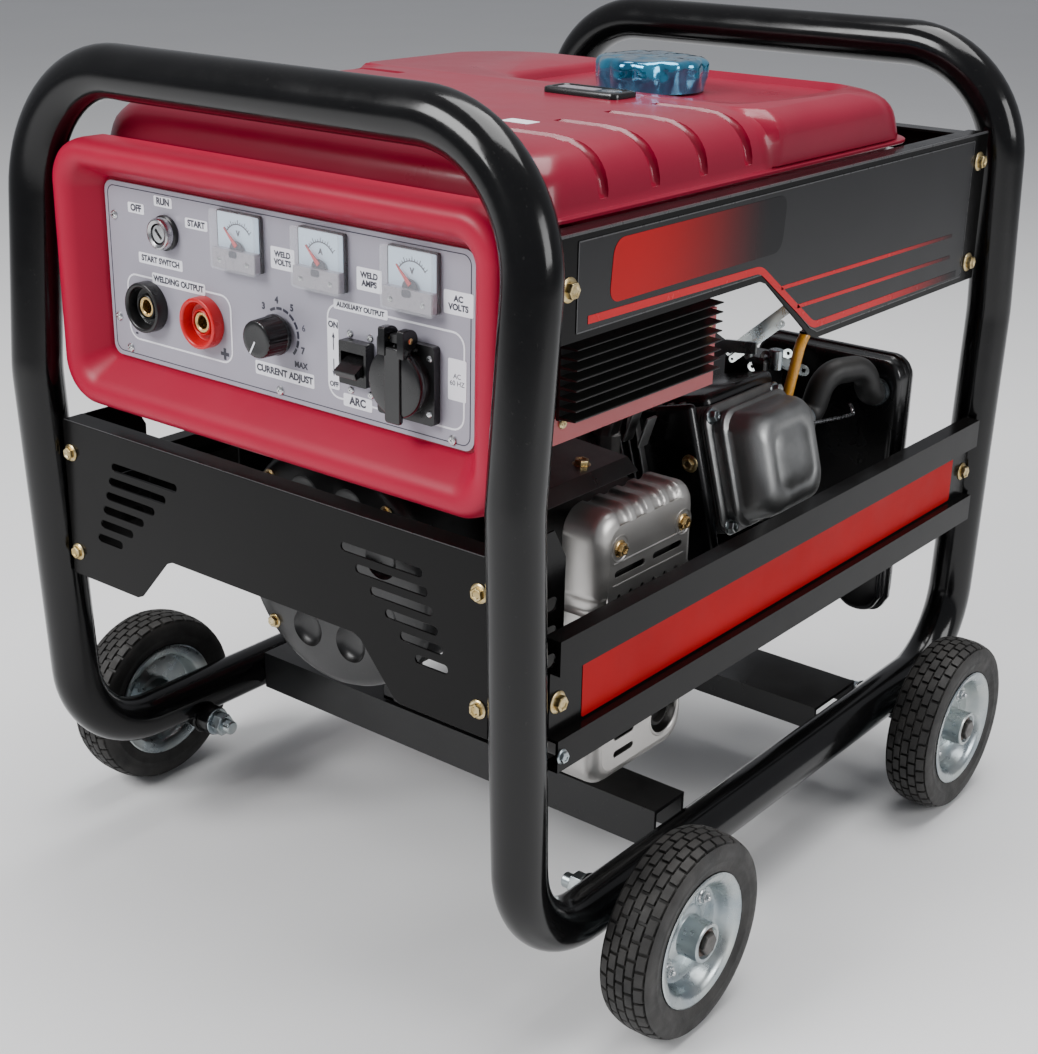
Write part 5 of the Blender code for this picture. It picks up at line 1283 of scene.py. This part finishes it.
def intake():
    x, z = 152, 344
    body = Shape().lathe([(9.5, 109.5), (19, 109.5), (19, 113), (18.2, 113.8), (14.5, 114), (14.5, 139.5),
        (17.2, 140.3), (17.5, 141), (17.5, 149.5), (17, 150), (9.5, 150)], 48, at(x, 0, z) @ ALONG_Y,
        closed=True)
    body.lathe([(6, -42.5), (10, -42), (15, -40.8), (16.5, -39), (17, -20), (18.5, -19), (18.5, -16.5),
        (15, -15), (12.5, -10), (12, 0.0)], 48, at(x, 127, z))
    body.lathe([(9, 0.0), (9, 19), (8.4, 20), (1, 20)], 40, at(x, 127, z))
    body.box((x - 12, 118, z - 12), (x + 18, 136, z + 12), 2)
    body.piece("carburettor_body", ALLOY, "frame", ("carburettor",), smooth=38)
    path = bend_path([((152, 150.5, 344), 0), ((152, 172, 344), 14), ((157, 182, 380), 22),
        ((174, 222, 380), 18), ((176, 228, 354), 14), ((176, 246.4, 354), 0)], 14)
    hose = Shape().pipe(path, 11.2, 40)
    hose.piece("intake_elbow", RUBBER, "frame", ("intake_hose",), smooth=60)
    clamp = Shape()
    clamp.lathe([(11.2, 153), (12.3, 153), (12.3, 159), (11.2, 159)], 48, at(152, 0, 344) @ ALONG_Y,
        closed=True)
    clamp.lathe([(11.2, 238.5), (12.3, 238.5), (12.3, 244.5), (11.2, 244.5)], 48, at(176, 0, 354) @ ALONG_Y,
        closed=True)
    clamp.piece("hose_clamps", ZINC, smooth=40)
    hose = Shape().pipe(bend_path([((164, 170, 499.4), 0), ((164, 170, 460), 20), ((160, 130, 418), 20),
        ((152, 127, 366), 0)], 12), 4.5, 24)
    hose.piece("fuel_line", AMBER, "frame", ("fuel_hose",), smooth=60)
    rods = Shape().pipe(smooth_path([(170, 140, 348), (170, 145, 347), (170, 207, 339), (169, 216, 340),
        (164, 220, 345)]), 1.6, 16)
    rods.pipe(smooth_path([(100, 125, 400), (108, 145, 412), (118, 165, 430), (120, 169, 431)]), 1.6, 16)
    rods.piece("control_rods", STEEL, smooth=60)
    plates = Shape()
    for a, b, width in (((100, 118, 401), (123, 170, 433), 8.5), ((104, 115, 396), (121, 164, 420), 6),
            ((125, 135, 398), (150, 156, 386), 10), ((118, 125, 390), (134, 156, 398), 8)):
        flat_bar(plates, Vector(a), Vector(b), width, 1.4)
    plates.lathe([(6, 388), (6, 404), (5.2, 404.6)], 32, at(132, 140, 0))
    plates.lathe([(4.5, 390), (4.5, 406), (3.8, 406.6)], 32, at(112, 130, 0))
    plates.piece("control_plates", ZINC, smooth=30)
    carry("governor_lever", ZINC, 0.4)
    air_cleaner()


def air_cleaner():
    x0, x1, z1 = 48, 198, 385
    lower = [(p.x, p.y) for p in smooth_path([(x0 + 4, 164, 0), (x0 + 30, 148, 0), (x0 + 65, 144, 0),
        (x0 + 100, 150, 0), (x1 - 30, 140, 0), (x1 - 10, 142, 0), (x1, 156, 0)], 8)]
    upper = [p for p in rounded(x0, x1, 155, z1, 18, 14) if p[1] > 200]
    outline = lower + upper
    cx, cz = (x0 + x1) / 2, 265

    def inset(amount):
        wide, tall = 1 - amount / 75, 1 - amount / 115
        return [(cx + (px - cx) * wide, cz + (pz - cz) * tall) for px, pz in outline]

    rings = []
    for amount, y in ((10.5, 246.6), (6.5, 246.7), (4.2, 247.4), (3, 248.8), (2.6, 251), (2.6, 259.6),
            (1.8, 260.4), (0.2, 260.8), (0.0, 261.4), (0.0, 265.6), (0.4, 266.4), (2, 266.8), (2.8, 267.6),
            (3.6, 274), (6, 280), (9, 284.5), (13, 288), (18, 290.5), (26, 292), (36, 292.5)):
        rings.append([(px, pz, y) for px, pz in inset(amount)])
    case = Shape().loft(rings, False, UPRIGHT)
    case.piece("cleaner_case", BLACK_SATIN, "frame", ("air_cleaner",), smooth=50)
    clips = Shape()
    for cx, cz in ((x0 + 0.5, 300), (x0 + 0.5, 215)):
        clips.box((cx, 252, cz - 10), (cx + 5.5, 276, cz + 10), 1.2)
    clips.piece("cleaner_clips", ZINC, smooth=40)


# picture


FLOOR_HALF = 40_000


def studio():
    floor = Shape()
    signs = ((-1, -1), (1, -1), (1, 1), (-1, 1))
    floor.bm.faces.new([floor.bm.verts.new((x * FLOOR_HALF, y * FLOOR_HALF, 0)) for x, y in signs])
    obj = floor.piece("studio_ground", FLOOR, None)
    world = bpy.data.worlds.new("studio")
    bpy.context.scene.world = world
    world.use_nodes = True
    world.node_tree.nodes["Background"].inputs["Color"].default_value = (0.92, 0.94, 1.0, 1)
    world.node_tree.nodes["Background"].inputs["Strength"].default_value = 0.34
    for name, spot, power, size, aim in (("key_light", (-0.9, -2.3, 2.2), 95, 1.3, (0, 0, 0.4)),
            ("top_light", (0.2, 0.4, 2.8), 80, 1.8, (0, 0, 0.5)), ("side_light", (2.7, 0.3, 1.4), 36, 1.2,
            (0, 0, 0.35))):
        data = bpy.data.lights.new(name, "AREA")
        data.energy = power
        data.size = size
        light = bpy.data.objects.new(name, data)
        light.location = spot
        light.rotation_euler = (Vector(aim) - Vector(spot)).to_track_quat("-Z", "Y").to_euler()
        bpy.context.scene.collection.objects.link(light)
    yaw, pitch, roll = 0.66837, -0.37375, 0.02034
    ahead = Vector((-sin(yaw) * cos(pitch), cos(yaw) * cos(pitch), sin(pitch)))
    right = ahead.cross(Vector((0, 0, 1))).normalized()
    up = right.cross(ahead)
    across = right * cos(roll) + up * sin(roll)
    upward = up * cos(roll) - right * sin(roll)
    camera = bpy.data.objects.new("camera", bpy.data.cameras.new("camera"))
    camera.data.lens = 58.82
    camera.data.sensor_width = 36
    turn = Matrix((across, upward, -ahead)).transposed().to_4x4()
    camera.matrix_world = Matrix.Translation((0.832, -1.0895, 0.7887)) @ turn
    bpy.context.scene.collection.objects.link(camera)
    bpy.context.scene.camera = camera


hoops()
wheels()
front_panel()
side_sheets()
fasteners()
console_housing()
control_plate()
plate_print()
meters()
key()
sockets()
knob()
breaker()
outlet()
fuel_tank()
fuel_cap()
fuel_gauge()
electrics()
alternator()
engine()
exhaust()
intake()
studio()
